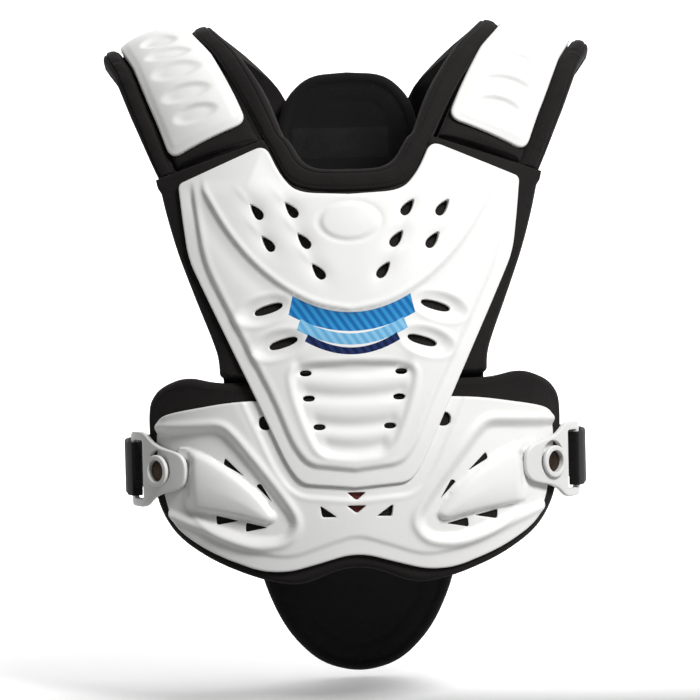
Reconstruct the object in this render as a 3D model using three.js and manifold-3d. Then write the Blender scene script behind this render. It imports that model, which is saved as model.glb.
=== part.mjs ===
// Roost deflector for off-road riding, kept in its worn form. Millimetres, +Z up.
// The front faces -Y, +X runs to the viewer's right, and the origin lies midway
// between the shoulders, level with the underside of the straps at their crest.
import * as THREE from 'three';
import { mergeVertices } from 'three/addons/utils/BufferGeometryUtils.js';
import Module from 'manifold-3d';

const wasm = await Module();
wasm.setup();

// Front body form
const FRONT_DEEP = 106;        // how far the belly line lies in front of the shoulder line
const BELLY_DROP = 360;        // height of the belly line below the origin
const CHEST_FALL = 4.7e-4;     // how fast the chest leans back above and below it
const CHEST_ROUND = 380;       // radius across the chest
const WAIST_ROUND = 420;       // radius across the waist, before its sides turn in
const CHEST_TURN = 1.5e-8;     // how fast the chest's sides turn in
const WAIST_TURN = 7.1e-8;     // how fast the waist's sides turn in
const TURN_DROP = 225;         // the waist's bend starts this far down
const TURN_TALL = 105;         // and is full after this height

// Back body form
const BACK_DEEP = 112;
const BACK_ROUND = 260;
const BACK_WAVE = 10;          // hollow of the small of the back
const BACK_WAVE_TALL = 420;
const BACK_WAVE_DROP = 160;

// Foam and plates
const CHEST_FOAM = 13.3;
const WAIST_FOAM = 10;
const PLATE = 3;
const LAY = 0.6;               // clearance between layers that lie on each other
const SEAM = 0.7;              // clearance along a seam
const CHEST_HALF = 150;
const CHEST_TOP = -83;
const CHEST_TALL = 298;
const BELT_HALF = 176;
const BELT_TOP = -301;
const BELT_TALL = 152;
const CHEST_FOAM_HALF = 164;
const CHEST_FOAM_DROP = 287.5; // its lower edge
const NECK_HALF = 73;          // neck line, half width at the shoulder seam
const NECK_TALL = 47;
const SEAM_OUT_DROP = 113;     // shoulder seam, outer and inner end
const SEAM_IN_DROP = 76;
const SEAM_IN_HALF = 56;
const WAIST_FOAM_HALF = 184;
const WAIST_FOAM_TOP = -284;
const WAIST_FOAM_TALL = 183;
const PANEL_RISE = 1.6;        // raised panel inside the edge flange
const SHIELD_RISE = 1.4;       // upper shield on the chest panel
const RIB_SINK = 1.5;          // valleys between the ribs
const HORN_RISE = 3;           // swept side bulges
const BOSS_RISE = 0.8;         // plain oval boss
const CHEST_PITCH = 26;        // column width of the chest's facets
const PLATE_PITCH = 17;
const PLATE_ROWS = 40;
const FOAM_PITCH = 20;
const FOAM_ROWS = 45;

// Vents
const TEAR_LONG = 15;
const TEAR_WIDE = 6.4;
const TEAR_TILT = 52;
const SLOT_LONG = 25;
const SLOT_WIDE = 6;
const SLOT_TILT = -17;
const RIB_VENT_LONG = 10;
const RIB_VENT_WIDE = 5;
const EDGE_VENT = 6;           // radius of the half-hidden vents beside the chest plate
const BOSS_WIDE = 46;
const BOSS_TALL = 30;

// Shoulder straps
const SHOULDER_HALF = 220;
const BODY_HALF_DEEP = 110;
const STRAP_DROP = 110;
const STRAP_WIDE = 110;
const STRAP_SPAN = 46;         // length between two strap sections
const STRAP_ROUND = 4;         // roundness of the strap's underside at both ends
const PAD = 10;
const PAD_CROWN = 6.5;         // fullness of the pad and its cap along the middle
const PAD_SEAM = 3.4;          // clearance to the inner roll where the strap bends over
const CAP = 3;
const CAP_LAY = 1.9;           // clearance between the pad and its cap
const CAP_START = 9;           // seam to the cap's front edge
const CAP_END = 196;           // seam to the cap's rear edge
const CAP_SIDE = 0.175;        // the cap's edges, as shares of the strap's width
const CAP_INNER = 0.8;
const CAP_CORNER = 11;
const DENT_SINK = 1.2;
const ROLL_TALL = 14;
const OUTER_ROLL = 0.155;      // outer roll, as a share of the strap's width
const CUFF_PITCH = 16;
const CUFF_ROWS = 17;
const ROLL_STEPS = 20;
const DENT_WIDE = 14;
const DENT_TILT = 8;

// Back
const PAD_BACK = 12;
const PAD_HALF = 104;
const PAD_TOP = -11;
const PAD_TALL = 566;
const SHELL = 3;
const WINGS = 0.6273;          // half width of its wings, as a share of the shoulders'
const SHELL_TOP = -40;
const SHELL_TALL = 480;
const STRAP_END_EDGE = 14;     // strap end's outer corner, in from the wing's tip
const STRAP_END_OUT_DROP = 128;
const STRAP_END_IN = 42;
const STRAP_END_IN_DROP = 66;
const BACK_PITCH = 30;
const BACK_ROWS = 42;
const BACK_LAY = 1;            // clearance on either side of the back shell

// Side straps and buckles
const STUD_ARC = 172;          // stud, measured round the waist from the middle
const STUD_DROP = 366;
const BUCKLE = 4;
const BUCKLE_PITCH = 11;
const BUCKLE_LONG = 66;
const BUCKLE_TONGUE = 28;      // stud to the rounded end
const BUCKLE_TALL = 66;
const BUCKLE_END = 17.5;       // radius of the rounded end
const BAR = 6;
const KEYHOLE_RISE = 1.45;
const TURNED_SIDES = 12;
const SIDE_END = 104;          // side strap's seat on the shell, arc from the middle
const SIDE_STEPS = 14;
const WEB_TAPER = 14;
const WINDOW = 13;
const WEB_WIDE = 47;
const WEB = 2;
const WEB_ROOM = 1;            // clearance round the bar and the webbing
const STUD_RIM = 14;
const STUD_NECK = 11.5;
const STUD_BORE = 9.5;
const STUD_RIM_TALL = 3;
const STUD_FLOOR = 2;
const STUD_EDGE = 1.5;         // slope of the rim's outer edge
const HOLE_SIDES = 10;
const KEYHOLE_SIDES = 14;
const RIVET_HEAD = 9;
const RIVET_HEAD_TALL = 2;
const RIVET_SHANK = 3;
const FIT = 0.35;              // clearance round studs and rivets

const SHELL_HALF = WINGS * SHOULDER_HALF;
const STRAP_END_OUT = SHELL_HALF - STRAP_END_EDGE;
const BELT_BASE = WAIST_FOAM + LAY;
const BELT_FACE = BELT_BASE + PLATE;
const CHEST_BASE = Math.max(CHEST_FOAM, BELT_FACE) + LAY;
const CHEST_FACE = CHEST_BASE + PLATE;
const SHELL_BASE = PAD_BACK + BACK_LAY;
const SHELL_FACE = SHELL_BASE + SHELL;

const ARC_STEPS = 16;
const FLATTEN_STEPS = 24;
const PROBE = 0.5;
const FAR = 60;                // cutting prisms reach this far past a sheet
const BOW = 1e-3;              // working bow that a flat blank has while it is cut
const EDGE_STEP = 30;
const SLIVER = 0.02;           // edges shorter than this are closed up after cutting

const mix = (a, b, t) => a + (b - a) * t;
const smooth = (t) => {
  const u = THREE.MathUtils.clamp(t, 0, 1);
  return u * u * (3 - 2 * u);
};

// Body forms: a point at arc s from the middle and height z
const front = (s, z) => {
  const turn = smooth((-z - TURN_DROP) / TURN_TALL);
  const radius = mix(CHEST_ROUND, WAIST_ROUND, turn);
  const bend = mix(CHEST_TURN, WAIST_TURN, turn);
  const step = s / ARC_STEPS;
  const point = new THREE.Vector3(0, -FRONT_DEEP + CHEST_FALL * (z + BELLY_DROP) ** 2, z);
  for (let i = 0; i < ARC_STEPS; i++) {
    const at = step * (i + 0.5);
    const angle = at / radius + bend * at ** 3;
    point.x += step * Math.cos(angle);
    point.y += step * Math.sin(angle);
  }
  return point;
};
const back = (s, z) => {
  const wave = Math.cos((2 * Math.PI * (z + BACK_WAVE_DROP)) / BACK_WAVE_TALL);
  const fall = BACK_ROUND * (1 - Math.cos(s / BACK_ROUND));
  return new THREE.Vector3(
    -BACK_ROUND * Math.sin(s / BACK_ROUND), BACK_DEEP + BACK_WAVE * wave - fall, z);
};
const normalOn = (form, s, z) => {
  const across = form(s + PROBE, z).sub(form(s - PROBE, z));
  const along = form(s, z + PROBE).sub(form(s, z - PROBE));
  return across.cross(along).normalize();
};
const layerOf = (form) => (s, z, h) =>
  form(s, z).addScaledVector(normalOn(form, s, z), h);
const frontLayer = layerOf(front);
const backLayer = layerOf(back);

// Flat place whose point at height h shows at x, z in the front view
const flatten = (layer, x, z, h) => {
  const side = layer === backLayer ? -1 : 1;
  const flat = new THREE.Vector2(side * x, z);
  for (let i = 0; i < FLATTEN_STEPS; i++) {
    const point = layer(flat.x, flat.y, h);
    flat.x += side * (x - point.x);
    flat.y += z - point.z;
  }
  return flat;
};

// Outlines
const fine = (points, step) => points.flatMap((point, i) => {
  const next = points[(i + 1) % points.length];
  const count = Math.max(1, Math.round(point.distanceTo(next) / step));
  return Array.from({ length: count }, (_, k) => point.clone().lerp(next, k / count));
});
const round = (rows) => rows.flatMap(([x, z, corner], i) => {
  const at = new THREE.Vector2(x, z);
  if (!corner) return [at];
  const before = new THREE.Vector2(...rows[(i + rows.length - 1) % rows.length].slice(0, 2));
  const after = new THREE.Vector2(...rows[(i + 1) % rows.length].slice(0, 2));
  const reach = Math.min(corner, 0.45 * at.distanceTo(before), 0.45 * at.distanceTo(after));
  const start = at.clone().add(before.sub(at).setLength(reach));
  const end = at.clone().add(after.sub(at).setLength(reach));
  return new THREE.QuadraticBezierCurve(start, at, end).getPoints(2);
});
const both = (rows) => [
  ...rows,
  ...rows.filter(([x]) => x !== 0).reverse().map(([x, z, corner]) => [-x, z, corner]),
];
const scaled = (table, half, top, tall) =>
  table.map(([across, drop, corner]) => [across * half, top - drop * tall, corner]);
const edgeOf = (layer, table, half, top, tall, h, pitch) =>
  fine(round(both(scaled(table, half, top, tall))), pitch).map((p) => flatten(layer, p.x, p.y, h));
const patch = (points, x, z, tilt) => {
  const turn = THREE.MathUtils.degToRad(tilt);
  return points.map(([u, v]) => new THREE.Vector2(u, v).rotateAround(new THREE.Vector2(), turn)
    .add(new THREE.Vector2(x, z)));
};
const tear = (long, wide) => [
  [0.5, 0], [0.1, 0.38], [-0.3, 0.5], [-0.5, 0], [-0.3, -0.5], [0.1, -0.38],
].map(([u, v]) => [u * long, v * wide]);
const oval = (long, wide) => [
  [0.5, 0], [0.34, 0.47], [-0.34, 0.47], [-0.5, 0], [-0.34, -0.47], [0.34, -0.47],
].map(([u, v]) => [u * long, v * wide]);
const lens = (long, wide) => [
  [0.5, 0], [0.15, 0.47], [-0.32, 0.44], [-0.5, 0], [-0.32, -0.44], [0.15, -0.47],
].map(([u, v]) => [u * long, v * wide]);
const onBothSides = (points) => [points, points.map((p) => new THREE.Vector2(-p.x, p.y)).reverse()];

// Solids
const solidOf = (geometry) => {
  geometry.deleteAttribute('normal');
  geometry.deleteAttribute('uv');
  const merged = mergeVertices(geometry, 1e-4);
  return new wasm.Manifold(new wasm.Mesh({
    numProp: 3,
    vertProperties: new Float32Array(merged.attributes.position.array),
    triVerts: new Uint32Array(merged.index.array),
  }));
};
const geometryOf = (solid) => {
  const mesh = solid.getMesh();
  const geometry = new THREE.BufferGeometry();
  geometry.setAttribute('position', new THREE.BufferAttribute(new Float32Array(mesh.vertProperties), 3));
  geometry.setIndex(new THREE.BufferAttribute(new Uint32Array(mesh.triVerts), 1));
  return geometry;
};
const prism = (edge, low, high) => {
  const shape = new THREE.Shape(edge);
  return solidOf(new THREE.ExtrudeGeometry(shape, { depth: high - low, bevelEnabled: false })
    .translate(0, 0, low));
};
const bend = (geometry, place) => {
  const points = geometry.attributes.position;
  const at = new THREE.Vector3();
  for (let i = 0; i < points.count; i++) {
    at.fromBufferAttribute(points, i);
    points.setXYZ(i, ...place(at.x, at.y, at.z).toArray());
  }
  geometry.computeVertexNormals();
  return geometry;
};

// A sheet is cut from a flat blank and then laid on its form
const sheet = ({ layer, edge, low, high, pitch, tall = pitch, holes = [], raised = [], sunk = [], bosses = [], swell }) => {
  const box = new THREE.Box2().setFromPoints(edge).expandByScalar(pitch / 2);
  const size = box.getSize(new THREE.Vector2());
  const middle = box.getCenter(new THREE.Vector2());
  const bow = (s, z) =>
    BOW * ((s - middle.x) ** 2 + (((z - middle.y) * pitch) / tall) ** 2);
  const blank = (from, to) => {
    const columns = Math.ceil(size.x / pitch);
    const rows = Math.ceil(size.y / tall);
    const geometry = new THREE.BoxGeometry(size.x, size.y, to - from, columns, rows, 1)
      .translate(middle.x, middle.y, (from + to) / 2);
    const points = geometry.attributes.position;
    for (let i = 0; i < points.count; i++) {
      points.setZ(i, points.getZ(i) + bow(points.getX(i), points.getY(i)));
    }
    return solidOf(geometry);
  };
  const through = (points) => prism(points, low - FAR, high + 2 * FAR);
  let solid = blank(low, high);
  const raise = ({ edge: rim, to }) => {
    solid = solid.add(blank(low, to).intersect(through(rim)));
  };
  raised.forEach(raise);
  for (const { edge: rim, to } of sunk) {
    solid = solid.subtract(blank(to, high + FAR).intersect(through(rim)));
  }
  bosses.forEach(raise);
  solid = solid.intersect(through(edge));
  for (const hole of holes) solid = solid.subtract(through(hole));
  solid = solid.simplify(SLIVER);
  return bend(geometryOf(solid), (s, z, h) => {
    const flat = h - bow(s, z);
    return layer(s, z, swell ? swell(s, z, flat) : flat);
  });
};

// A padded roll: a half-round section carried along two edges
const ROLL_SIDES = 6;
const ROLL_FULL = 0.75;        // below 1 the roll's sides stand up more
const roll = (stations) => {
  const points = stations.flatMap(({ from, to, up }) => {
    const middle = from.clone().lerp(to, 0.5);
    const half = to.clone().sub(middle);
    return Array.from({ length: ROLL_SIDES + 1 }, (_, i) => {
      const angle = (Math.PI * i) / ROLL_SIDES;
      return middle.clone().addScaledVector(half, -Math.cos(angle))
        .addScaledVector(up, ROLL_TALL * Math.max(Math.sin(angle), 0) ** ROLL_FULL);
    });
  });
  const ring = ROLL_SIDES + 1;
  const faces = [];
  for (let j = 0; j + 1 < stations.length; j++) {
    for (let i = 0; i < ring; i++) {
      const a = j * ring + i;
      const b = j * ring + ((i + 1) % ring);
      faces.push(a, b, b + ring, a, b + ring, a + ring);
    }
  }
  const last = (stations.length - 1) * ring;
  for (let i = 1; i + 1 < ring; i++) {
    faces.push(0, i + 1, i, last, last + i, last + i + 1);
  }
  const geometry = new THREE.BufferGeometry().setFromPoints(points);
  geometry.setIndex(faces);
  geometry.computeVertexNormals();
  return geometry;
};
const mirrored = (geometry) => {
  const copy = geometry.clone().scale(-1, 1, 1);
  const index = copy.index.array;
  for (let i = 0; i < index.length; i += 3) [index[i], index[i + 1]] = [index[i + 1], index[i]];
  copy.computeVertexNormals();
  return copy;
};

// Chest plate. Columns: across, drop, corner
const CHEST_EDGE = [
  [0, 0.155, 0], [0.3, 0.147, 16], [0.4, 0.09, 12], [0.49, 0, 6], [1, 0.11, 5], [0.98, 0.2, 10],
  [0.945, 0.33, 14], [0.83, 0.455, 20], [0.57, 0.733, 20], [0.39, 0.935, 14], [0.31, 0.987, 8],
  [0, 1, 0],
];
const CHEST_PANEL = [
  [0, -0.1, 0], [0.96, -0.1, 0], [0.91, 0.154, 0], [0.85, 0.345, 20], [0.63, 0.572, 20],
  [0.46, 0.745, 16], [0.36, 0.875, 14], [0.27, 0.935, 10], [0, 0.951, 0],
];
const CHEST_SHIELD = [
  [0, -0.1, 0], [0.93, -0.1, 0], [0.83, 0.131, 0], [0.7, 0.25, 20], [0.55, 0.345, 20],
  [0.38, 0.418, 20], [0.2, 0.468, 20], [0, 0.486, 0],
];
// Columns: across, drop
const TEARS = [[0.533, 0.2], [0.333, 0.197], [0.471, 0.293], [0.265, 0.287], [0.186, 0.376]];
const SLOTS = [[0.48, 0.481], [0.398, 0.58]];
// Valleys between the ribs. Columns: half width, drop, height, vent across
const VALLEYS = [
  [0.33, 0.667, 0.034, 0.275], [0.3, 0.74, 0.034, 0.26], [0.245, 0.823, 0.034, 0.203],
  [0.2, 0.898, 0.03, 0],
];
const chestX = (share) => share * CHEST_HALF;
const chestZ = (share) => CHEST_TOP - share * CHEST_TALL;
const onChest = (points) => points.map((p) => flatten(frontLayer, p.x, p.y, CHEST_FACE));
const chestRim = (table) =>
  edgeOf(frontLayer, table, CHEST_HALF, CHEST_TOP, CHEST_TALL, CHEST_FACE, EDGE_STEP);
const chestVents = [
  ...TEARS.map(([x, z]) => patch(tear(TEAR_LONG, TEAR_WIDE), chestX(x), chestZ(z), TEAR_TILT)),
  ...SLOTS.map(([x, z]) => patch(oval(SLOT_LONG, SLOT_WIDE), chestX(x), chestZ(z), SLOT_TILT)),
  ...VALLEYS.filter((row) => row[3]).map(([, z, , x]) =>
    patch(oval(RIB_VENT_LONG, RIB_VENT_WIDE), chestX(x), chestZ(z), 0)),
].flatMap(onBothSides);
const chestPlate = sheet({
  layer: frontLayer,
  edge: chestRim(CHEST_EDGE),
  low: CHEST_BASE,
  high: CHEST_FACE,
  pitch: CHEST_PITCH,
  tall: PLATE_ROWS,
  raised: [
    { edge: chestRim(CHEST_PANEL), to: CHEST_FACE + PANEL_RISE },
    { edge: chestRim(CHEST_SHIELD), to: CHEST_FACE + PANEL_RISE + SHIELD_RISE },
    {
      edge: onChest(patch(oval(BOSS_WIDE, BOSS_TALL), 0, chestZ(0.245), 0)),
      to: CHEST_FACE + PANEL_RISE + SHIELD_RISE + BOSS_RISE,
    },
  ],
  sunk: VALLEYS.map(([half, z, tall]) => ({
    edge: onChest(patch(oval(2 * chestX(half), tall * CHEST_TALL), 0, chestZ(z), 0)),
    to: CHEST_FACE + PANEL_RISE - RIB_SINK,
  })),
  holes: chestVents.map(onChest),
});

// Belt plate. Columns: across, drop, corner
const BELT_EDGE = [
  [0, 0.01, 0], [0.6, 0.03, 20], [0.89, 0.09, 16], [0.975, 0.125, 6], [1, 0.23, 10],
  [0.995, 0.4, 16], [0.94, 0.69, 20], [0.875, 0.79, 16], [0.71, 0.905, 20], [0.48, 1, 12],
  [0.34, 1.005, 12], [0.21, 0.965, 14], [0.08, 0.92, 14], [0, 0.905, 0],
];
const BELT_PANEL = [
  [0.21, 0.56, 8], [0.294, 0.525, 8], [0.42, 0.347, 20], [0.62, -0.1, 0], [0.95, -0.1, 0],
  [0.95, 0.3, 12], [0.93, 0.53, 16], [0.83, 0.707, 20], [0.674, 0.841, 20], [0.5, 0.905, 12],
  [0.324, 0.93, 12], [0.18, 0.87, 10], [0.12, 0.7, 16],
];
const HORN = [
  [0.79, 0.362, 6], [0.653, 0.395, 16], [0.548, 0.479, 16], [0.473, 0.555, 12],
  [0.386, 0.694, 5], [0.43, 0.735, 6], [0.597, 0.684, 16], [0.79, 0.67, 6],
];
const LEAF = [
  [1.02, 0.19, 4], [0.764, 0.173, 16], [0.65, 0.165, 16], [0.586, 0.235, 10], [0.472, 0.403, 16],
  [0.36, 0.575, 16], [0.282, 0.72, 12], [0.343, 0.83, 12], [0.5, 0.85, 16], [0.674, 0.784, 16],
  [0.9, 0.68, 10], [1.02, 0.66, 4],
];
// Three-cornered vents, three pairs of across and drop each
const WING_VENTS = [
  [0.641, 0.355, 0.651, 0.388, 0.56, 0.447], [0.49, 0.512, 0.468, 0.5, 0.419, 0.597],
  [0.694, 0.683, 0.691, 0.731, 0.593, 0.709], [0.543, 0.722, 0.547, 0.77, 0.45, 0.747],
  [0.174, 0.63, 0.167, 0.69, 0.103, 0.688],
];
const MIDDLE_VENTS = [
  [0.041, 0.555, -0.041, 0.555, 0, 0.595], [0.042, 0.629, -0.042, 0.629, 0, 0.67],
];
const EDGE_VENT_AT = [0.437, 0.152];
const beltX = (share) => share * BELT_HALF;
const beltZ = (share) => BELT_TOP - share * BELT_TALL;
const onBelt = (points) => points.map((p) => flatten(frontLayer, p.x, p.y, BELT_FACE));
const beltPatch = (table) => fine(round(scaled(table, BELT_HALF, BELT_TOP, BELT_TALL)), EDGE_STEP);
const corners = (row) => [0, 2, 4].map((i) => new THREE.Vector2(beltX(row[i]), beltZ(row[i + 1])));
const studHole = Array.from({ length: HOLE_SIDES }, (_, i) => {
  const angle = (2 * Math.PI * i) / HOLE_SIDES;
  return new THREE.Vector2(STUD_ARC + (RIVET_SHANK + FIT) * Math.cos(angle),
    -STUD_DROP + (RIVET_SHANK + FIT) * Math.sin(angle));
});
const beltPlate = sheet({
  layer: frontLayer,
  edge: edgeOf(frontLayer, BELT_EDGE, BELT_HALF, BELT_TOP, BELT_TALL, BELT_FACE, EDGE_STEP),
  low: BELT_BASE,
  high: BELT_FACE,
  pitch: PLATE_PITCH,
  tall: PLATE_ROWS,
  raised: [
    ...onBothSides(beltPatch(BELT_PANEL)).map((rim) => (
      { edge: onBelt(rim), to: BELT_FACE + PANEL_RISE })),
  ],
  sunk: onBothSides(beltPatch(LEAF)).map((rim) => ({ edge: onBelt(rim), to: BELT_FACE })),
  bosses: onBothSides(beltPatch(HORN)).map((rim) => ({ edge: onBelt(rim), to: BELT_FACE + HORN_RISE })),
  holes: [
    ...WING_VENTS.map(corners).flatMap(onBothSides),
    ...MIDDLE_VENTS.map(corners),
    ...onBothSides(patch(oval(2 * EDGE_VENT, 2 * EDGE_VENT), beltX(EDGE_VENT_AT[0]),
      beltZ(EDGE_VENT_AT[1]), 0)),
  ].map(onBelt).concat(onBothSides(studHole)),
});

// Foam behind the plates. Columns: across, drop, corner
const CHEST_FOAM_SIDE = [
  [1, 0, 0], [0.957, 0.18, 12], [0.9, 0.37, 16], [0.8, 0.625, 20], [0.73, 0.79, 16],
  [0.691, 0.9, 12], [0.695, 1, 0], [0, 1, 0],
];
const WAIST_FOAM_EDGE = [
  [0, 0.03, 0], [0.66, 0.03, 10], [0.81, 0, 20], [0.937, 0.052, 16], [0.993, 0.126, 12],
  [1, 0.234, 16], [0.984, 0.526, 20], [0.94, 0.666, 20], [0.857, 0.78, 20], [0.68, 0.888, 20],
  [0.456, 0.971, 20], [0.28, 1, 14], [0.13, 0.961, 14], [0, 0.9125, 0],
];
// The neck line. Columns: plate side across, drop, then neck side across, drop
const NECK = [
  [0, 1, 0, 0.557], [0.25, 0.994, 0.22, 0.553], [0.48, 0.957, 0.384, 0.521],
  [0.664, 0.862, 0.5, 0.426], [0.767, 0.702, 0.575, 0.298], [0.836, 0.489, 0.63, 0.149],
  [0.9, 0.277, 0.69, 0],
];
const seamZ = (x) => mix(-SEAM_IN_DROP, -SEAM_OUT_DROP,
  (x - SEAM_IN_HALF) / (CHEST_FOAM_HALF - SEAM_IN_HALF));
const NECK_TOP = seamZ(NECK_HALF);
const neckZ = (drop) => NECK_TOP - drop * NECK_TALL;
const chestFoam = sheet({
  layer: frontLayer,
  edge: fine(round(both([
    ...NECK.map(([x, drop]) => [x * NECK_HALF + (x ? SEAM : 0), neckZ(drop) - SEAM, 0]),
    [NECK_HALF + SEAM, NECK_TOP - 2 * SEAM, 0],
    ...CHEST_FOAM_SIDE.map(([x, drop, corner]) => [x * CHEST_FOAM_HALF,
      mix(-SEAM_OUT_DROP - SEAM, -CHEST_FOAM_DROP, drop), corner]),
  ])), EDGE_STEP).map((p) => flatten(frontLayer, p.x, p.y, 0)),
  low: 0,
  high: CHEST_FOAM,
  pitch: CHEST_PITCH,
  tall: FOAM_ROWS,
});
const waistFoam = sheet({
  layer: frontLayer,
  edge: edgeOf(frontLayer, WAIST_FOAM_EDGE, WAIST_FOAM_HALF, WAIST_FOAM_TOP, WAIST_FOAM_TALL,
    WAIST_FOAM, EDGE_STEP),
  low: 0,
  high: WAIST_FOAM,
  pitch: FOAM_PITCH,
  tall: FOAM_ROWS,
});

// Shoulder straps, left one, seam to back. Columns: outer edge across, deep, drop, then the
// inner edge across, deep, drop
const STRAP = [
  [0.848, -0.245, 0.59, 0.325, -0.473, 0.345], [0.932, -0.11, 0.21, 0.425, -0.273, 0.045],
  [0.983, 0.073, 0.085, 0.528, 0.027, -0.14], [0.945, 0.455, 0.215, 0.443, 0.409, -0.02],
  [0.815, 0.84, 0.56, 0.35, 0.83, 0.11], [0.727, 0.94, 0.81, 0.285, 1.12, 0.235],
];
// Inner roll's width at each section, seam to back, as a share of the strap's width
const INNER_ROLL = [
  (NECK_HALF - SEAM_IN_HALF) / (CHEST_FOAM_HALF - SEAM_IN_HALF), 0.18, 0.2, 0.205, 0.21, 0.21,
  0.21, 0.21,
];
const railOf = (x, z, columns, end) => {
  const seam = flatten(frontLayer, -x, z, 0);
  return new THREE.CatmullRomCurve3([
    frontLayer(seam.x, seam.y, 0),
    ...STRAP.map((row) => columns.map((i) => row[i])).map(([across, deep, drop]) =>
      new THREE.Vector3(-across * SHOULDER_HALF, deep * BODY_HALF_DEEP, -drop * STRAP_DROP)),
    backLayer(end.x, end.y, SHELL_FACE + BACK_LAY),
  ]);
};
const outerRail = railOf(CHEST_FOAM_HALF, -SEAM_OUT_DROP, [0, 1, 2],
  new THREE.Vector2(STRAP_END_OUT, -STRAP_END_OUT_DROP));
const innerRail = railOf(SEAM_IN_HALF, -SEAM_IN_DROP, [3, 4, 5],
  new THREE.Vector2(STRAP_END_IN, -STRAP_END_IN_DROP));
const strapLong = (STRAP.length + 1) * STRAP_SPAN;
const seamOut = flatten(frontLayer, -CHEST_FOAM_HALF, -SEAM_OUT_DROP, 0);
const seamIn = flatten(frontLayer, -SEAM_IN_HALF, -SEAM_IN_DROP, 0);
const strapAt = (share, v) => {
  const t = THREE.MathUtils.clamp(v / strapLong, 0, 1);
  const outer = outerRail.getPoint(t);
  const across = innerRail.getPoint(t).sub(outer);
  const along = outerRail.getTangent(t).lerp(innerRail.getTangent(t), share);
  const up = across.clone().cross(along).normalize();
  const atSeam = smooth(1 - v / STRAP_SPAN);
  const atEnd = smooth(1 - (strapLong - v) / STRAP_SPAN);
  const seam = seamOut.clone().lerp(seamIn, share);
  up.lerp(normalOn(front, seam.x, seam.y), atSeam).normalize();
  const arch = STRAP_ROUND * (atSeam + atEnd) * 4 * share * (1 - share);
  return { point: outer.addScaledVector(across, share).addScaledVector(up, arch), up };
};
const strapLayer = (u, v, h) => {
  const { point, up } = strapAt(u / STRAP_WIDE, v);
  return point.addScaledVector(up, h);
};
const innerShare = (v) => {
  const at = THREE.MathUtils.clamp(v / STRAP_SPAN, 0, INNER_ROLL.length - 1);
  const low = Math.min(Math.floor(at), INNER_ROLL.length - 2);
  return 1 - mix(INNER_ROLL[low], INNER_ROLL[low + 1], at - low);
};
const rollStation = (v, from, to) => {
  const a = strapAt(from, v);
  const b = strapAt(to, v);
  return { from: a.point, to: b.point, up: a.up.lerp(b.up, 0.5).normalize() };
};
const strapSteps = Array.from({ length: ROLL_STEPS + 1 }, (_, i) => (strapLong * i) / ROLL_STEPS);
const shoulderRoll = roll(strapSteps.map((v) => rollStation(v, 0, OUTER_ROLL)));
const neckSide = [
  ...strapSteps.slice().reverse().map((v) => rollStation(v, 1, innerShare(v))),
  ...NECK.slice(1).reverse().map(([x, drop, innerX, innerDrop]) => {
    const to = flatten(frontLayer, -x * NECK_HALF, neckZ(drop), 0);
    const from = flatten(frontLayer, -innerX * NECK_HALF, neckZ(innerDrop), 0);
    const middle = from.clone().lerp(to, 0.5);
    return {
      from: frontLayer(from.x, from.y, 0),
      to: frontLayer(to.x, to.y, 0),
      up: normalOn(front, middle.x, middle.y),
    };
  }),
];
const flipX = (point) => new THREE.Vector3(-point.x, point.y, point.z);
const neckMiddle = {
  from: front(0, neckZ(NECK[0][3])),
  to: front(0, neckZ(NECK[0][1])),
  up: normalOn(front, 0, NECK_TOP - NECK_TALL),
};
const neckRoll = roll([
  ...neckSide,
  neckMiddle,
  ...neckSide.slice().reverse().map(({ from, to, up }) => (
    { from: flipX(from), to: flipX(to), up: flipX(up) })),
]);

const crown = (u, v) => {
  const q = THREE.MathUtils.clamp((u / STRAP_WIDE - CAP_SIDE) / (CAP_INNER - CAP_SIDE), 0, 1);
  const ends = mix(0.4, 1, smooth(v / STRAP_SPAN)) * smooth((strapLong - v) / (2 * STRAP_SPAN));
  return PAD_CROWN * 4 * q * (1 - q) * ends;
};
const shoulderPad = sheet({
  layer: strapLayer,
  edge: [
    ...strapSteps.map((v) => new THREE.Vector2(OUTER_ROLL * STRAP_WIDE + SEAM, v)),
    ...strapSteps.slice().reverse().map((v) =>
      new THREE.Vector2(innerShare(v) * STRAP_WIDE - PAD_SEAM, v)),
  ],
  low: 0,
  high: PAD,
  pitch: CUFF_PITCH,
  tall: CUFF_ROWS,
  swell: (u, v, h) => (h * (PAD + crown(u, v))) / PAD,
});
// Dents across the cap. Columns: distance from the seam as a share of the cap, length share
const DENTS = [[0.16, 0.66], [0.265, 0.74], [0.375, 0.76], [0.47, 0.72], [0.57, 0.6]];
const capLeft = CAP_SIDE * STRAP_WIDE;
const capWide = (CAP_INNER - CAP_SIDE) * STRAP_WIDE;
const capEdge = fine(round([
  [capLeft, CAP_START, CAP_CORNER], [capLeft + capWide, CAP_START, CAP_CORNER],
  [capLeft + capWide, CAP_END, CAP_CORNER], [capLeft, CAP_END, CAP_CORNER],
]), CUFF_PITCH);
const shoulderCap = sheet({
  layer: strapLayer,
  edge: capEdge,
  low: PAD + CAP_LAY,
  high: PAD + CAP_LAY + CAP,
  pitch: CUFF_PITCH,
  tall: CUFF_ROWS,
  sunk: DENTS.map(([at, long]) => ({
    edge: patch(lens(long * capWide, DENT_WIDE), capLeft + capWide / 2,
      mix(CAP_START, CAP_END, at), DENT_TILT),
    to: PAD + CAP_LAY + CAP - DENT_SINK,
  })),
  swell: (u, v, h) => h + crown(u, v),
});

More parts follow.
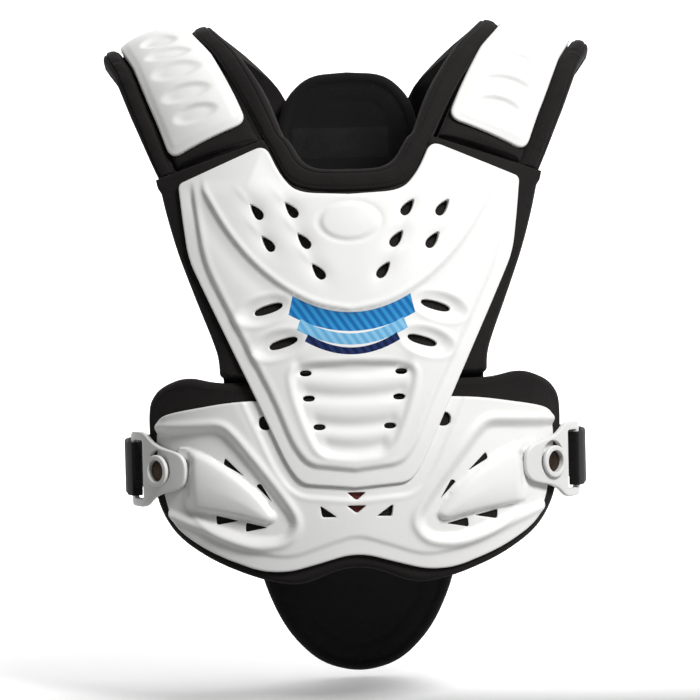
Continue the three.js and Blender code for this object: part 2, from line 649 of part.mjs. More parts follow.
// Back. Columns: across, drop, corner
const BACK_PAD_EDGE = [
  [0, 0, 0], [0.34, 0.004, 20], [0.56, 0.045, 20], [0.635, 0.104, 20], [0.72, 0.21, 30],
  [0.94, 0.37, 40], [1, 0.564, 40], [0.96, 0.72, 40], [0.846, 0.845, 30], [0.65, 0.935, 24],
  [0.36, 0.994, 24], [0, 1, 0],
];
const SHELL_EDGE = [
  [0, 0, 0], [0.29, 0.006, 12], [0.4, 0.03, 10], [0.96, 0.145, 14], [1, 0.185, 10],
  [0.92, 0.222, 14], [0.667, 0.25, 20], [0.62, 0.34, 30], [0.7, 0.5, 40], [0.7, 0.7, 40],
  [0.62, 0.88, 30], [0.4, 0.985, 24], [0, 1, 0],
];
const backPad = sheet({
  layer: backLayer,
  edge: edgeOf(backLayer, BACK_PAD_EDGE, PAD_HALF, PAD_TOP, PAD_TALL, 0, BACK_PITCH),
  low: 0,
  high: PAD_BACK,
  pitch: BACK_PITCH,
  tall: BACK_ROWS,
});
const backShell = sheet({
  layer: backLayer,
  edge: edgeOf(backLayer, SHELL_EDGE, SHELL_HALF, SHELL_TOP, SHELL_TALL, SHELL_BASE, BACK_PITCH),
  low: SHELL_BASE,
  high: SHELL_FACE,
  pitch: BACK_PITCH,
  tall: BACK_ROWS,
});

// Right buckle, on the belt plate
const buckleOut = BUCKLE_LONG - BUCKLE_TONGUE;
const buckleBase = BELT_FACE + LAY;
const atStud = (points) => points.map(([s, z]) => new THREE.Vector2(STUD_ARC + s, z - STUD_DROP));
const buckleHalf = [
  [-BUCKLE_TONGUE, BUCKLE_END * 0.8, 12], [0.1 * buckleOut, 1.25 * BUCKLE_END, 10],
  [buckleOut - BAR - WINDOW - 2, BUCKLE_TALL / 2, 6], [buckleOut, BUCKLE_TALL / 2, 5],
];
const buckleEdge = round([
  ...buckleHalf, ...buckleHalf.slice().reverse().map(([s, z, corner]) => [s, -z, corner]),
]);
const windowHalf = WEB_WIDE / 2 + 2 * WEB_ROOM;
const keyhole = Array.from({ length: KEYHOLE_SIDES }, (_, i) => {
  const angle = (2 * Math.PI * i) / KEYHOLE_SIDES;
  const tall = Math.sin(angle) > 0 ? KEYHOLE_RISE : 1;
  return [(STUD_NECK + 3 * FIT) * Math.cos(angle), (STUD_NECK + 3 * FIT) * tall * Math.sin(angle)];
});
const buckle = sheet({
  layer: frontLayer,
  edge: atStud(buckleEdge.map((p) => [p.x, p.y])),
  low: buckleBase,
  high: buckleBase + BUCKLE,
  pitch: BUCKLE_PITCH,
  tall: BUCKLE_TALL,
  holes: [
    atStud(keyhole),
    atStud([
      [buckleOut - BAR - WINDOW, -windowHalf], [buckleOut - BAR, -windowHalf],
      [buckleOut - BAR, windowHalf], [buckleOut - BAR - WINDOW, windowHalf],
    ]),
  ],
});
const seat = frontLayer(STUD_ARC, -STUD_DROP, 0);
const seatTurn = new THREE.Quaternion().setFromUnitVectors(
  new THREE.Vector3(0, 1, 0), normalOn(front, STUD_ARC, -STUD_DROP));
const turned = (profile) => {
  const geometry = new THREE.LatheGeometry(profile.map((p) => new THREE.Vector2(...p)), TURNED_SIDES);
  geometry.deleteAttribute('normal');
  geometry.deleteAttribute('uv');
  return geometryOf(solidOf(geometry)).applyQuaternion(seatTurn).translate(...seat.toArray());
};
const studLow = BELT_FACE + FIT;
const rimLow = buckleBase + BUCKLE + FIT;
const bore = RIVET_SHANK + FIT;
const stud = turned([
  [bore, studLow], [STUD_NECK, studLow], [STUD_NECK, rimLow], [STUD_RIM, rimLow],
  [STUD_RIM, rimLow + STUD_RIM_TALL * 0.6], [STUD_RIM - STUD_EDGE, rimLow + STUD_RIM_TALL],
  [STUD_BORE, rimLow + STUD_RIM_TALL], [STUD_BORE, studLow + STUD_FLOOR],
  [bore, studLow + STUD_FLOOR], [bore, studLow],
]);
const headLow = studLow + STUD_FLOOR + FIT;
const rivet = turned([
  [0, BELT_BASE + FIT], [RIVET_SHANK, BELT_BASE + FIT], [RIVET_SHANK, headLow],
  [RIVET_HEAD, headLow], [RIVET_HEAD, headLow + 0.5 * RIVET_HEAD_TALL],
  [0.6 * RIVET_HEAD, headLow + RIVET_HEAD_TALL], [0, headLow + RIVET_HEAD_TALL],
]);

// Right side strap: one loop round the buckle's bar, then back to the shell
const barIn = buckleOut - BAR - WEB_ROOM;
const barOut = buckleOut + WEB_ROOM;
const slack = BUCKLE / 2 + WEB_ROOM;
const webMiddle = buckleBase + BUCKLE / 2;
const webBack = SHELL_FACE + BACK_LAY + WEB;
// Free run from buckle to shell. Columns: across, deep
const SIDE_RUN = [[1.155, 0.3], [1.02, 0.68]];
const sideStart = buckleOut + WEB_TAPER;
const sideCurve = new THREE.CatmullRomCurve3([
  ...[0, 1].map((i) => frontLayer(STUD_ARC + sideStart + i * WEB_TAPER, -STUD_DROP, webMiddle)),
  ...SIDE_RUN.map(([across, deep]) =>
    new THREE.Vector3(across * BELT_HALF, deep * BODY_HALF_DEEP, -STUD_DROP)),
  ...[1, 0.86, 0.72].map((share) => backLayer(-share * SIDE_END, -STUD_DROP, webBack)),
]);
const sideLong = sideCurve.getLength();
const sideLayer = (a, z, h) => {
  if (a <= sideStart) return frontLayer(STUD_ARC + a, z, webMiddle + h);
  const t = THREE.MathUtils.clamp((a - sideStart) / sideLong, 0, 1);
  const along = sideCurve.getTangentAt(t);
  const out = new THREE.Vector3(along.y, -along.x, 0).normalize();
  return sideCurve.getPointAt(t).addScaledVector(out, h).setZ(z);
};
const tail = (share) => mix(barOut + WEB_TAPER, sideStart + sideLong, share);
const tailSteps = Array.from({ length: SIDE_STEPS + 1 }, (_, i) => i / SIDE_STEPS);
const bowed = ([a, h]) => new THREE.Vector2(a, h + BOW * a * a);
const loop = new THREE.Shape([
  [barIn - WEB, -slack], [barIn, -slack - WEB], [barOut, -slack - WEB],
  ...tailSteps.map((share) => [tail(share), -WEB]),
  ...tailSteps.slice().reverse().map((share) => [tail(share), WEB]),
  [barOut, slack + WEB], [barIn, slack + WEB], [barIn - WEB, slack],
].map(bowed));
loop.holes.push(new THREE.Path([
  [barIn, -slack], [barIn, slack], [barOut, slack], [barOut + WEB_TAPER - WEB, 0], [barOut, -slack],
].map(bowed)));
const sideStrap = bend(
  geometryOf(solidOf(new THREE.ExtrudeGeometry(loop, { depth: WEB_WIDE, bevelEnabled: false }))),
  (a, h, depth) => sideLayer(a, WEB_WIDE / 2 - STUD_DROP - depth, h - BOW * a * a));

// Assembly
const finish = (color, roughness) => () =>
  new THREE.MeshStandardMaterial({ color, roughness, metalness: 0 });
const white = finish(0xf2f2ef, 0.3);
const foam = finish(0x2a2626, 0.9);
const black = finish(0x17171a, 0.85);
const webbing = finish(0x121214, 0.8);
const bronze = () => new THREE.MeshStandardMaterial({ color: 0x4a3a30, roughness: 0.4, metalness: 1 });
const group = new THREE.Group();
const add = (name, geometry, material) => {
  const mesh = new THREE.Mesh(geometry, material());
  mesh.name = name;
  group.add(mesh);
};
const pair = (name, left, right, material) => {
  add(`${name}_left`, left, material);
  add(`${name}_right`, right, material);
};
add('chest_plate', chestPlate, white);
add('belt_plate', beltPlate, white);
add('chest_liner', chestFoam, foam);
add('belt_liner', waistFoam, foam);
add('neck_roll', neckRoll, foam);
pair('shoulder_roll', shoulderRoll, mirrored(shoulderRoll), foam);
pair('shoulder_pad', shoulderPad, mirrored(shoulderPad), foam);
pair('shoulder_cap', shoulderCap, mirrored(shoulderCap), white);
add('back_pad', backPad, black);
add('back_shell', backShell, white);
pair('buckle_plate', mirrored(buckle), buckle, white);
pair('buckle_stud', mirrored(stud), stud, white);
pair('stud_rivet', mirrored(rivet), rivet, bronze);
pair('side_strap', mirrored(sideStrap), sideStrap, webbing);
export default group;
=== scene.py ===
"""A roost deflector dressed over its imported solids: moulded white plates with vents, padded
black liners, shoulder pads and rolls, a back pad with its shell, buckles and webbing.
Lengths in the tables are millimetres or shares of named sizes; Blender works in metres."""
import math

import bmesh
import bpy
import numpy as np
from bpy.props import FloatProperty, FloatVectorProperty, PointerProperty
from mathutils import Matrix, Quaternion, Vector
from mathutils.geometry import delaunay_2d_cdt


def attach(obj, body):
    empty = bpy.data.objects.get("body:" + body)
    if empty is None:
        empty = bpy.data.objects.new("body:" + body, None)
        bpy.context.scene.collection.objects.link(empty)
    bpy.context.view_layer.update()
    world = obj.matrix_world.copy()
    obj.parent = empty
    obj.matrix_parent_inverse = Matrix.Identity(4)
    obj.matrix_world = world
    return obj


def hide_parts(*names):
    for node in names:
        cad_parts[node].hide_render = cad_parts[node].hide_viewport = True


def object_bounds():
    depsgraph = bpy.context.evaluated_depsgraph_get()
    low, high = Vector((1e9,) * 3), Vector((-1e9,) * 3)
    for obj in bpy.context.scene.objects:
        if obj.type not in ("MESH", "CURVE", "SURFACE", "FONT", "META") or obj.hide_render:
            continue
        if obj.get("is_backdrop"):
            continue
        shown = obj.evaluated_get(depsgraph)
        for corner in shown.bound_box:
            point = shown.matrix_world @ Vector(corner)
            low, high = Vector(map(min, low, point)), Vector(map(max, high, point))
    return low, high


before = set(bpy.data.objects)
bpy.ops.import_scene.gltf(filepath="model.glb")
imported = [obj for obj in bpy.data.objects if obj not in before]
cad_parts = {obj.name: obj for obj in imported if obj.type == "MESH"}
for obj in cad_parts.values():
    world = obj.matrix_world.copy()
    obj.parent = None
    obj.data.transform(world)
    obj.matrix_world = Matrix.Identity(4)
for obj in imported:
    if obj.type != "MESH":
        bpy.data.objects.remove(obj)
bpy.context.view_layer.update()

bl_info = {
    "name": "Roost deflector",
    "version": (1, 0, 0),
    "blender": (4, 5, 0),
    "location": "3D View > Sidebar > Roost deflector",
    "description": "Builds the visible pieces of an off-road rider's roost deflector",
    "category": "Object",
}

MM = 0.001

# Body forms, as in the solids
FRONT_DEEP, BELLY_DROP, CHEST_FALL = 106.0, 360.0, 4.7e-4
CHEST_ROUND, WAIST_ROUND = 380.0, 420.0
CHEST_TURN, WAIST_TURN = 1.5e-8, 7.1e-8
TURN_DROP, TURN_TALL = 225.0, 105.0
BACK_DEEP, BACK_ROUND = 112.0, 260.0
BACK_WAVE, BACK_WAVE_TALL, BACK_WAVE_DROP = 10.0, 420.0, 160.0

# Layers and plates
CHEST_FOAM, WAIST_FOAM, PLATE, LAY, SEAM = 13.3, 10.0, 3.0, 0.6, 0.7
CHEST_HALF, CHEST_TOP, CHEST_TALL = 150.0, -83.0, 298.0
BELT_HALF, BELT_TOP, BELT_TALL = 176.0, -301.0, 152.0
CHEST_FOAM_HALF, CHEST_FOAM_DROP = 164.0, 287.5
NECK_HALF, NECK_TALL = 73.0, 47.0
SEAM_OUT_DROP, SEAM_IN_DROP, SEAM_IN_HALF = 113.0, 76.0, 56.0
WAIST_FOAM_HALF, WAIST_FOAM_TOP, WAIST_FOAM_TALL = 184.0, -284.0, 183.0
BELT_BASE = WAIST_FOAM + LAY
BELT_FACE = BELT_BASE + PLATE
CHEST_BASE = BELT_FACE + LAY
CHEST_FACE = CHEST_BASE + PLATE
TEAR_LONG, TEAR_WIDE, TEAR_TILT = 16.5, 6.6, 52.0
SLOT_LONG, SLOT_WIDE, SLOT_TILT = 26.0, 7.4, -17.0
RIB_VENT_LONG, RIB_VENT_WIDE, EDGE_VENT = 10.0, 5.0, 6.0
BOSS_WIDE, BOSS_TALL, BOSS_DROP = 46.0, 30.0, 0.245

# Shoulder straps
SHOULDER_HALF, BODY_HALF_DEEP, STRAP_DROP = 220.0, 110.0, 110.0
STRAP_WIDE, STRAP_SPAN, STRAP_ROUND = 110.0, 46.0, 4.0
STRAP_LONG = 7 * STRAP_SPAN
PAD, PAD_CROWN, PAD_SEAM = 10.0, 6.5, 3.4
CAP, CAP_LAY, CAP_START, CAP_END = 3.0, 1.9, 9.0, 196.0
CAP_SIDE, CAP_INNER, CAP_CORNER = 0.175, 0.8, 11.0
CAP_SLANT = 10.0               # the cap's front edge slants back towards the neck
ROLL_TALL, OUTER_ROLL = 14.0, 0.172

# Back
PAD_BACK, PAD_HALF, PAD_TOP, PAD_TALL = 12.0, 104.0, -11.0, 566.0
SHELL, SHELL_HALF, SHELL_TOP, SHELL_TALL = 3.0, 138.0, -40.0, 480.0
BACK_LAY = 1.0
SHELL_BASE = PAD_BACK + BACK_LAY
SHELL_FACE = SHELL_BASE + SHELL
STRAP_END_OUT, STRAP_END_OUT_DROP = 124.0, 128.0
STRAP_END_IN, STRAP_END_IN_DROP = 42.0, 66.0

# Buckles and side straps
STUD_ARC, STUD_DROP, BUCKLE, BUCKLE_LONG, BUCKLE_TONGUE = 172.0, 366.0, 4.0, 66.0, 28.0
BUCKLE_TALL, BUCKLE_END, BAR, WINDOW, KEYHOLE_RISE = 66.0, 17.5, 6.0, 13.0, 1.45
SIDE_END, WEB_TAPER, WEB_WIDE, WEB, WEB_ROOM = 104.0, 14.0, 47.0, 2.0, 1.0
STUD_RIM, STUD_NECK, STUD_BORE, STUD_RIM_TALL, STUD_FLOOR = 14.0, 11.5, 9.5, 3.0, 2.0
RIVET_HEAD, RIVET_HEAD_TALL, RIVET_SHANK, FIT = 9.0, 2.0, 3.0, 0.35
BUCKLE_OUT = BUCKLE_LONG - BUCKLE_TONGUE
WEB_START = BUCKLE_OUT + WEB_TAPER             # arc from the stud where the webbing leaves the belt
WEB_LEVEL = BELT_FACE + LAY + BUCKLE / 2

# Nets and edges: rings beside a plate's edge, radii of rounded edges, angles kept sharp in degrees
EDGE_BANDS = (0.35, 0.9, 1.7, 2.8)
PLATE_EDGE, HOLE_EDGE, CAP_EDGE, BUCKLE_EDGE = 1.7, 0.9, 2.0, 1.3
PLATE_SHARP, STUD_SHARP, WEB_SHARP, PAD_SHARP, ROLL_SHARP = 40, 35, 50, 60, 65
# Spacing of the nets' points, but for the front plates', which a user may set
CHEST_FOAM_PITCH, WAIST_FOAM_PITCH, PAD_PITCH, SHELL_PITCH, FINE_PITCH = 3.0, 3.2, 3.4, 2.6, 1.5
# Rolls: sides of the section, rows along each roll, and waves of the folds along a whole roll
ROLL_SIDES, NECK_ROLL_ROWS, SHOULDER_ROLL_ROWS = 40, 620, 300
FOLD_WAVES = (17, 29, 43, 71)
FLAT_FILL, SOFT_FILL = 0.9, 0.8                # how full the padded pieces are

# Heights of the plates' relief
PANEL_RISE, PANEL_LIP, SHIELD_RISE, SHIELD_LIP, SHIELD_GROOVE = 2.9, 0.5, 2.0, 1.1, 1.0
RIB_LIP, RIB_SUNK, VALLEY_DEEP = 0.8, 2.3, 3.0
TEAR_HOLLOW, TEAR_LIP, SLOT_HOLLOW, SLOT_LIP = 1.7, 0.5, 2.6, 0.6
BOSS_RISE, BOSS_DOME, BOSS_GROOVE = 1.1, 0.6, 0.6
FLANGE_RISE, WING_RISE, LEAF_DEEP, LEAF_LIP = 1.5, 0.9, 4.2, 2.1
HORN_STEP, HORN_SWELL, CHEST_SEAT, CREASE_DEEP, BELT_THIN = 2.6, 5.6, 1.3, 2.4, 0.9
DENT_DEEP, DENT_WIDE, DENT_SHARE, DENT_TILT = 2.6, 8.2, 0.92, 2.0
SHELL_WAVES, SHELL_WAVE_DEEP = (0.42, 0.54, 0.66, 0.78), 1.4

# Sewn edges: the chest liner's flap behind the belt liner and its neck edge under the roll
FLAP, FLAP_HALF, TUCK = 11.0, 0.69, 1.8
SEWN_LINE, SEWN_OVAL = 9.0, 26.0               # the back pad's sewn lines, in from its edge
LOOP_MIDDLE, LOOP_HALF = np.array([7.0, -76.0]), np.array([45.0, 14.0])

# Outlines. Columns: across, drop, corner radius
CHEST_EDGE = [
    [0, 0.155, 0], [0.3, 0.147, 16], [0.4, 0.09, 12], [0.482, 0.001, 10], [1, 0.11, 5], [0.98, 0.2, 10],
    [0.945, 0.33, 14], [0.83, 0.455, 20], [0.57, 0.733, 20], [0.39, 0.935, 14], [0.31, 0.987, 8],
    [0, 1, 0]]
CHEST_PANEL = [
    [0, -0.1, 0], [0.96, -0.1, 0], [0.91, 0.154, 0], [0.85, 0.345, 20], [0.63, 0.572, 20],
    [0.46, 0.745, 16], [0.36, 0.875, 14], [0.27, 0.935, 10], [0, 0.951, 0]]
CHEST_SHIELD = [
    [0, -0.1, 0], [0.93, -0.1, 0], [0.83, 0.131, 0], [0.7, 0.25, 20], [0.55, 0.345, 20],
    [0.38, 0.418, 20], [0.2, 0.468, 20], [0, 0.486, 0]]
RIB_FIELD = [
    [0, 0.634, 0], [0.26, 0.64, 14], [0.36, 0.66, 8], [0.34, 0.73, 16], [0.272, 0.83, 16],
    [0.2, 0.905, 12], [0, 0.915, 0]]
TEARS = [[0.533, 0.2], [0.333, 0.197], [0.471, 0.293], [0.265, 0.287], [0.186, 0.376]]
SLOTS = [[0.48, 0.481], [0.398, 0.58]]
# Valleys between the ribs. Columns: half width, drop, vent across
VALLEYS = [
    [0.33, 0.667, 0.275], [0.3, 0.74, 0.26], [0.245, 0.823, 0.203], [0.19, 0.888, 0]]
BELT_EDGE = [
    [0, 0.01, 0], [0.6, 0.03, 20], [0.89, 0.09, 16], [0.975, 0.125, 6], [1, 0.23, 10],
    [0.995, 0.4, 16], [0.94, 0.69, 20], [0.875, 0.79, 16], [0.71, 0.905, 20], [0.48, 1, 12],
    [0.34, 1.005, 12], [0.21, 0.965, 14], [0, 0.895, 40]]
BELT_PANEL = [
    [0.21, 0.56, 8], [0.294, 0.525, 8], [0.42, 0.347, 20], [0.62, -0.1, 0], [0.95, -0.1, 0],
    [0.95, 0.3, 12], [0.93, 0.53, 16], [0.83, 0.707, 20], [0.674, 0.841, 20], [0.5, 0.905, 12],
    [0.324, 0.93, 12], [0.18, 0.87, 10], [0.12, 0.7, 16]]
# Step above the belt's lower flange
BELT_INNER = [
    [0, -0.4, 0], [1.2, -0.4, 0], [1.02, 0.3, 10], [0.935, 0.47, 16], [0.87, 0.61, 16],
    [0.81, 0.705, 16], [0.66, 0.835, 20], [0.51, 0.89, 14], [0.33, 0.925, 14], [0.12, 0.84, 16],
    [0, 0.8, 30]]
HORN = [
    [0.89, 0.27, 12], [0.74, 0.33, 12], [0.653, 0.39, 16], [0.548, 0.479, 16], [0.473, 0.555, 12],
    [0.386, 0.694, 5], [0.43, 0.735, 6], [0.597, 0.684, 16], [0.89, 0.64, 12]]
LEAF = [
    [1.02, 0.19, 4], [0.764, 0.173, 16], [0.65, 0.165, 16], [0.586, 0.235, 10], [0.472, 0.403, 16],
    [0.36, 0.575, 16], [0.282, 0.72, 12], [0.343, 0.83, 12], [0.5, 0.85, 16], [0.674, 0.784, 16],
    [0.9, 0.68, 10], [1.02, 0.66, 4]]
# Three-cornered vents, three pairs of across and drop each
WING_VENTS = [
    [0.641, 0.355, 0.651, 0.388, 0.56, 0.447], [0.49, 0.512, 0.468, 0.5, 0.419, 0.597],
    [0.694, 0.683, 0.691, 0.731, 0.593, 0.709], [0.543, 0.722, 0.547, 0.77, 0.45, 0.747],
    [0.174, 0.63, 0.167, 0.69, 0.103, 0.688]]
MIDDLE_VENTS = [
    [0.041, 0.555, -0.041, 0.555, 0, 0.595], [0.042, 0.629, -0.042, 0.629, 0, 0.67]]
EDGE_VENT_AT = [0.437, 0.152]
VENT_GROW = 1.17
CHEST_FOAM_SIDE = [
    [1, 0, 0], [0.957, 0.18, 12], [0.9, 0.37, 16], [0.8, 0.625, 20], [0.73, 0.79, 16],
    [0.691, 0.9, 12]]
WAIST_FOAM_EDGE = [
    [0, 0.03, 0], [0.66, 0.03, 10], [0.81, 0, 20], [0.937, 0.052, 16], [0.993, 0.126, 12],
    [1, 0.234, 16], [0.984, 0.526, 20], [0.94, 0.666, 20], [0.857, 0.78, 20], [0.68, 0.888, 20],
    [0.456, 0.971, 20], [0.28, 1, 14], [0, 0.89, 60]]
# The neck line. Columns: plate side across, drop, then neck side across, drop
NECK = [
    [0, 1, 0, 0.557], [0.25, 0.994, 0.22, 0.553], [0.48, 0.957, 0.384, 0.521],
    [0.664, 0.862, 0.5, 0.426], [0.767, 0.702, 0.575, 0.298], [0.836, 0.489, 0.63, 0.149],
    [0.9, 0.277, 0.69, 0]]
# Left shoulder strap, seam to back. Columns: outer edge across, deep, drop, then the inner edge
STRAP = np.array([
    [0.848, -0.245, 0.59, 0.325, -0.473, 0.345], [0.932, -0.11, 0.21, 0.425, -0.273, 0.045],
    [0.983, 0.073, 0.085, 0.528, 0.027, -0.14], [0.945, 0.455, 0.215, 0.443, 0.409, -0.02],
    [0.815, 0.84, 0.56, 0.35, 0.83, 0.11], [0.727, 0.94, 0.81, 0.285, 1.12, 0.235]])
INNER_ROLL = [
    (NECK_HALF - SEAM_IN_HALF) / (CHEST_FOAM_HALF - SEAM_IN_HALF), 0.18, 0.2, 0.205, 0.21, 0.21,
    0.21, 0.21]
# Dents across the cap. Columns: distance from the seam as a share of the cap, length share
DENTS = [[0.16, 0.66], [0.265, 0.74], [0.375, 0.76], [0.47, 0.72], [0.57, 0.6]]
BACK_PAD_EDGE = [
    [0, 0, 0], [0.34, 0.004, 20], [0.56, 0.045, 20], [0.635, 0.104, 20], [0.72, 0.21, 30],
    [0.94, 0.37, 40], [1, 0.564, 40], [0.96, 0.72, 40], [0.846, 0.84, 40], [0.65, 0.926, 40],
    [0.36, 0.983, 40], [0, 1.001, 60]]
SHELL_EDGE = [
    [0, 0, 0], [0.29, 0.006, 12], [0.4, 0.03, 10], [0.96, 0.145, 14], [1, 0.185, 10],
    [0.92, 0.222, 14], [0.667, 0.25, 20], [0.62, 0.34, 30], [0.7, 0.5, 40], [0.7, 0.7, 40],
    [0.62, 0.88, 30], [0.4, 0.985, 24], [0, 1, 0]]
# Free run of a side strap from buckle to shell. Columns: across, deep
SIDE_RUN = [[1.155, 0.3], [1.02, 0.68]]
# Flat seat under the buckle. Columns: arc from the middle, half height
BUCKLE_SEAT = np.array([[144, 18], [176, 26], [193, 36], [210, 36]])
# Printed bars. Columns: drop, half width, height, lift of the ends, number in PRINTS from 1
BARS = [[0.522, 0.36, 0.054, 0.05, 1], [0.572, 0.315, 0.032, 0.045, 2], [0.606, 0.27, 0.02, 0.04, 3]]
# Columns: name, colour, streaks
PRINTS = [
    ("blue print", (0.01, 0.14, 0.4), (0.03, 0.27, 0.58)),
    ("pale blue print", (0.13, 0.4, 0.66), (0.24, 0.52, 0.75)),
    ("navy print", (0.006, 0.012, 0.06), (0.012, 0.03, 0.12))]

# Stage, in metres and watts
SWEEP_REACH, SWEEP_BEND_AT, SWEEP_BEND = 6.0, 2.4, 1.2
LAMPS = [("key light", (1.17, -1.68, 1.34), 0.7, 75.0), ("top light", (0.2, 0.4, 2.4), 1.6, 8.0)]
LAMP_AIM = (0, 0, -0.26)
CAMERA_AIM, CAMERA_AWAY, CAMERA_TILT, CAMERA_LENS = (0, -0.110, -0.263), 2.390, 2.0, 142.9


def mix(a, b, t):
    return a + (b - a) * t


def smooth(t):
    """Three t squared less two t cubed, held at 0 and 1."""
    u = np.clip(t, 0, 1)
    return u * u * (3 - 2 * u)


def hump(t):
    """A bell: e to the power of minus t squared."""
    return np.exp(-np.square(t))


def unit(v):
    return v / np.linalg.norm(v, axis=-1, keepdims=True)


def turns(count):
    """Equal angles once round."""
    return np.arange(count) * 2 * math.pi / count


def run_of(points):
    """Length of a line up to each of its points."""
    return np.concatenate([[0], np.cumsum(np.linalg.norm(np.diff(points, axis=0), axis=1))])


# Body forms
def front(s, z):
    """Point on the chest and waist at arc s from the middle and height z: the arc turns by
    s over the radius plus a bend times s cubed, and the middle line leans back as the square
    of its distance from the belly."""
    s, z = np.broadcast_arrays(np.asarray(s, float), np.asarray(z, float))
    turn = smooth((-z - TURN_DROP) / TURN_TALL)
    radius, bend = mix(CHEST_ROUND, WAIST_ROUND, turn), mix(CHEST_TURN, WAIST_TURN, turn)
    at = s[..., None] * (np.arange(16) + 0.5) / 16
    angle = at / radius[..., None] + bend[..., None] * at ** 3
    x = s / 16 * np.cos(angle).sum(-1)
    y = s / 16 * np.sin(angle).sum(-1) - FRONT_DEEP + CHEST_FALL * (z + BELLY_DROP) ** 2
    return np.stack([x, y, z], -1)


def back(s, z):
    """Point on the back: a round of one radius whose middle line waves with height."""
    s, z = np.broadcast_arrays(np.asarray(s, float), np.asarray(z, float))
    wave = BACK_WAVE * np.cos(2 * math.pi * (z + BACK_WAVE_DROP) / BACK_WAVE_TALL)
    y = BACK_DEEP + wave - BACK_ROUND * (1 - np.cos(s / BACK_ROUND))
    return np.stack([-BACK_ROUND * np.sin(s / BACK_ROUND), y, z], -1)


def normal_on(form, s, z):
    across = form(s + 0.5, z) - form(s - 0.5, z)
    return unit(np.cross(across, form(s, z + 0.5) - form(s, z - 0.5)))


def front_layer(s, z, h):
    return front(s, z) + normal_on(front, s, z) * np.asarray(h, float)[..., None]


def back_layer(s, z, h):
    return back(s, z) + normal_on(back, s, z) * np.asarray(h, float)[..., None]


def flatten(layer, points, h):
    """Flat place of each front-view point at height h: the flat place moves by the miss
    until the miss is gone."""
    side = -1 if layer is back_layer else 1
    goal = np.asarray(points, float)
    flat = goal * [side, 1]
    for _ in range(24):
        at = layer(flat[:, 0], flat[:, 1], h)
        flat = flat + (goal - at[:, [0, 2]]) * [side, 1]
    return flat


# Outlines
def fine(points, step):
    """A closed line with every edge cut into equal steps no longer than step."""
    after = np.roll(points, -1, 0)
    parts = []
    for a, b in zip(points, after):
        count = max(1, math.ceil(np.linalg.norm(b - a) / step))
        parts.append(a + (b - a) * (np.arange(count) / count)[:, None])
    return np.concatenate(parts)


def rounded(rows, pieces=6):
    """Each corner turned into a curve of the second degree that starts and ends its radius away."""
    out = []
    for i, (x, z, corner) in enumerate(rows):
        at = np.array([x, z], float)
        if not corner:
            out.append(at[None])
            continue
        ends = []
        for row in (rows[i - 1], rows[(i + 1) % len(rows)]):
            way = np.array(row[:2], float) - at
            long = np.linalg.norm(way)
            ends.append(at + way / long * min(corner, 0.45 * long))
        t = np.linspace(0, 1, pieces + 1)[:, None]
        out.append((1 - t) ** 2 * ends[0] + 2 * t * (1 - t) * at + t * t * ends[1])
    return np.concatenate(out)


def both(rows):
    return rows + [[-x, z, c] for x, z, c in reversed(rows) if x != 0]


def scaled(table, half, top, tall):
    return [[x * half, top - drop * tall, corner] for x, drop, corner in table]


def counter(points):
    """The same closed line, turned to run against the clock."""
    area = np.sum(points[:, 0] * np.roll(points[:, 1], -1) - points[:, 1] * np.roll(points[:, 0], -1))
    return points if area > 0 else points[::-1]


def edge_of(layer, table, half, top, tall, h, step):
    rows = fine(rounded(both(scaled(table, half, top, tall))), step)
    return counter(flatten(layer, rows, h))


def inside(points, rim):
    """Distance of flat points from a closed line, above zero inside it."""
    result = np.empty(len(points))
    start, end = rim, np.roll(rim, -1, 0)
    way = end - start
    square = np.maximum((way ** 2).sum(1), 1e-12)
    for part in np.array_split(np.arange(len(points)), len(points) * len(rim) // 3000000 + 1):
        p = points[part][:, None]
        off = p - start
        t = np.clip((off * way).sum(-1) / square, 0, 1)
        near = np.sqrt((((off - t[..., None] * way)) ** 2).sum(-1).min(1))
        above = (start[:, 1] > p[..., 1]) != (end[:, 1] > p[..., 1])
        rise = np.where(way[:, 1] == 0, 1e-9, way[:, 1])
        cross = start[:, 0] + (p[..., 1] - start[:, 1]) * way[:, 0] / rise
        odd = (above & (p[..., 0] < cross)).sum(1) % 2 == 1
        result[part] = np.where(odd, near, -near)
    return result


def patch(points, x, z, tilt):
    """Points turned by tilt degrees and moved to x, z."""
    turn = math.radians(tilt)
    u, v = np.asarray(points, float).T
    return np.stack([x + u * math.cos(turn) - v * math.sin(turn),
                     z + u * math.sin(turn) + v * math.cos(turn)], 1)


def oval(long, wide, count=28):
    """A rounded bar: both half widths take a power of the cosine and sine that flattens them."""
    a = turns(count)
    return np.stack([long / 2 * np.sign(np.cos(a)) * np.abs(np.cos(a)) ** 0.85,
                     wide / 2 * np.sign(np.sin(a)) * np.abs(np.sin(a)) ** 0.85], 1)


def tear(long, wide, count=30):
    """A drop with its tip forward: the half width goes as the sine times one less cosine."""
    a = turns(count)
    return np.stack([long / 2 * np.cos(a), wide / 2 * np.sin(a) * (1.12 - 0.5 * np.cos(a))], 1)


def mirror_flat(points):
    return (points * [-1, 1])[::-1]


# Nets
def triangulated(points, lines, limit):
    """Corners and triangles of the Delaunay net that keeps the closed lines, whose points come
    first in points."""
    edges, start = [], 0
    for line in lines:
        ids = np.arange(start, start + len(line))
        edges.append(np.stack([ids, np.roll(ids, -1)], 1))
        start += len(line)
    net = delaunay_2d_cdt([Vector(p) for p in points.tolist()], np.concatenate(edges).tolist(),
                          [], 0, limit, False)
    return np.array([corner[:] for corner in net[0]]), np.array(net[2])


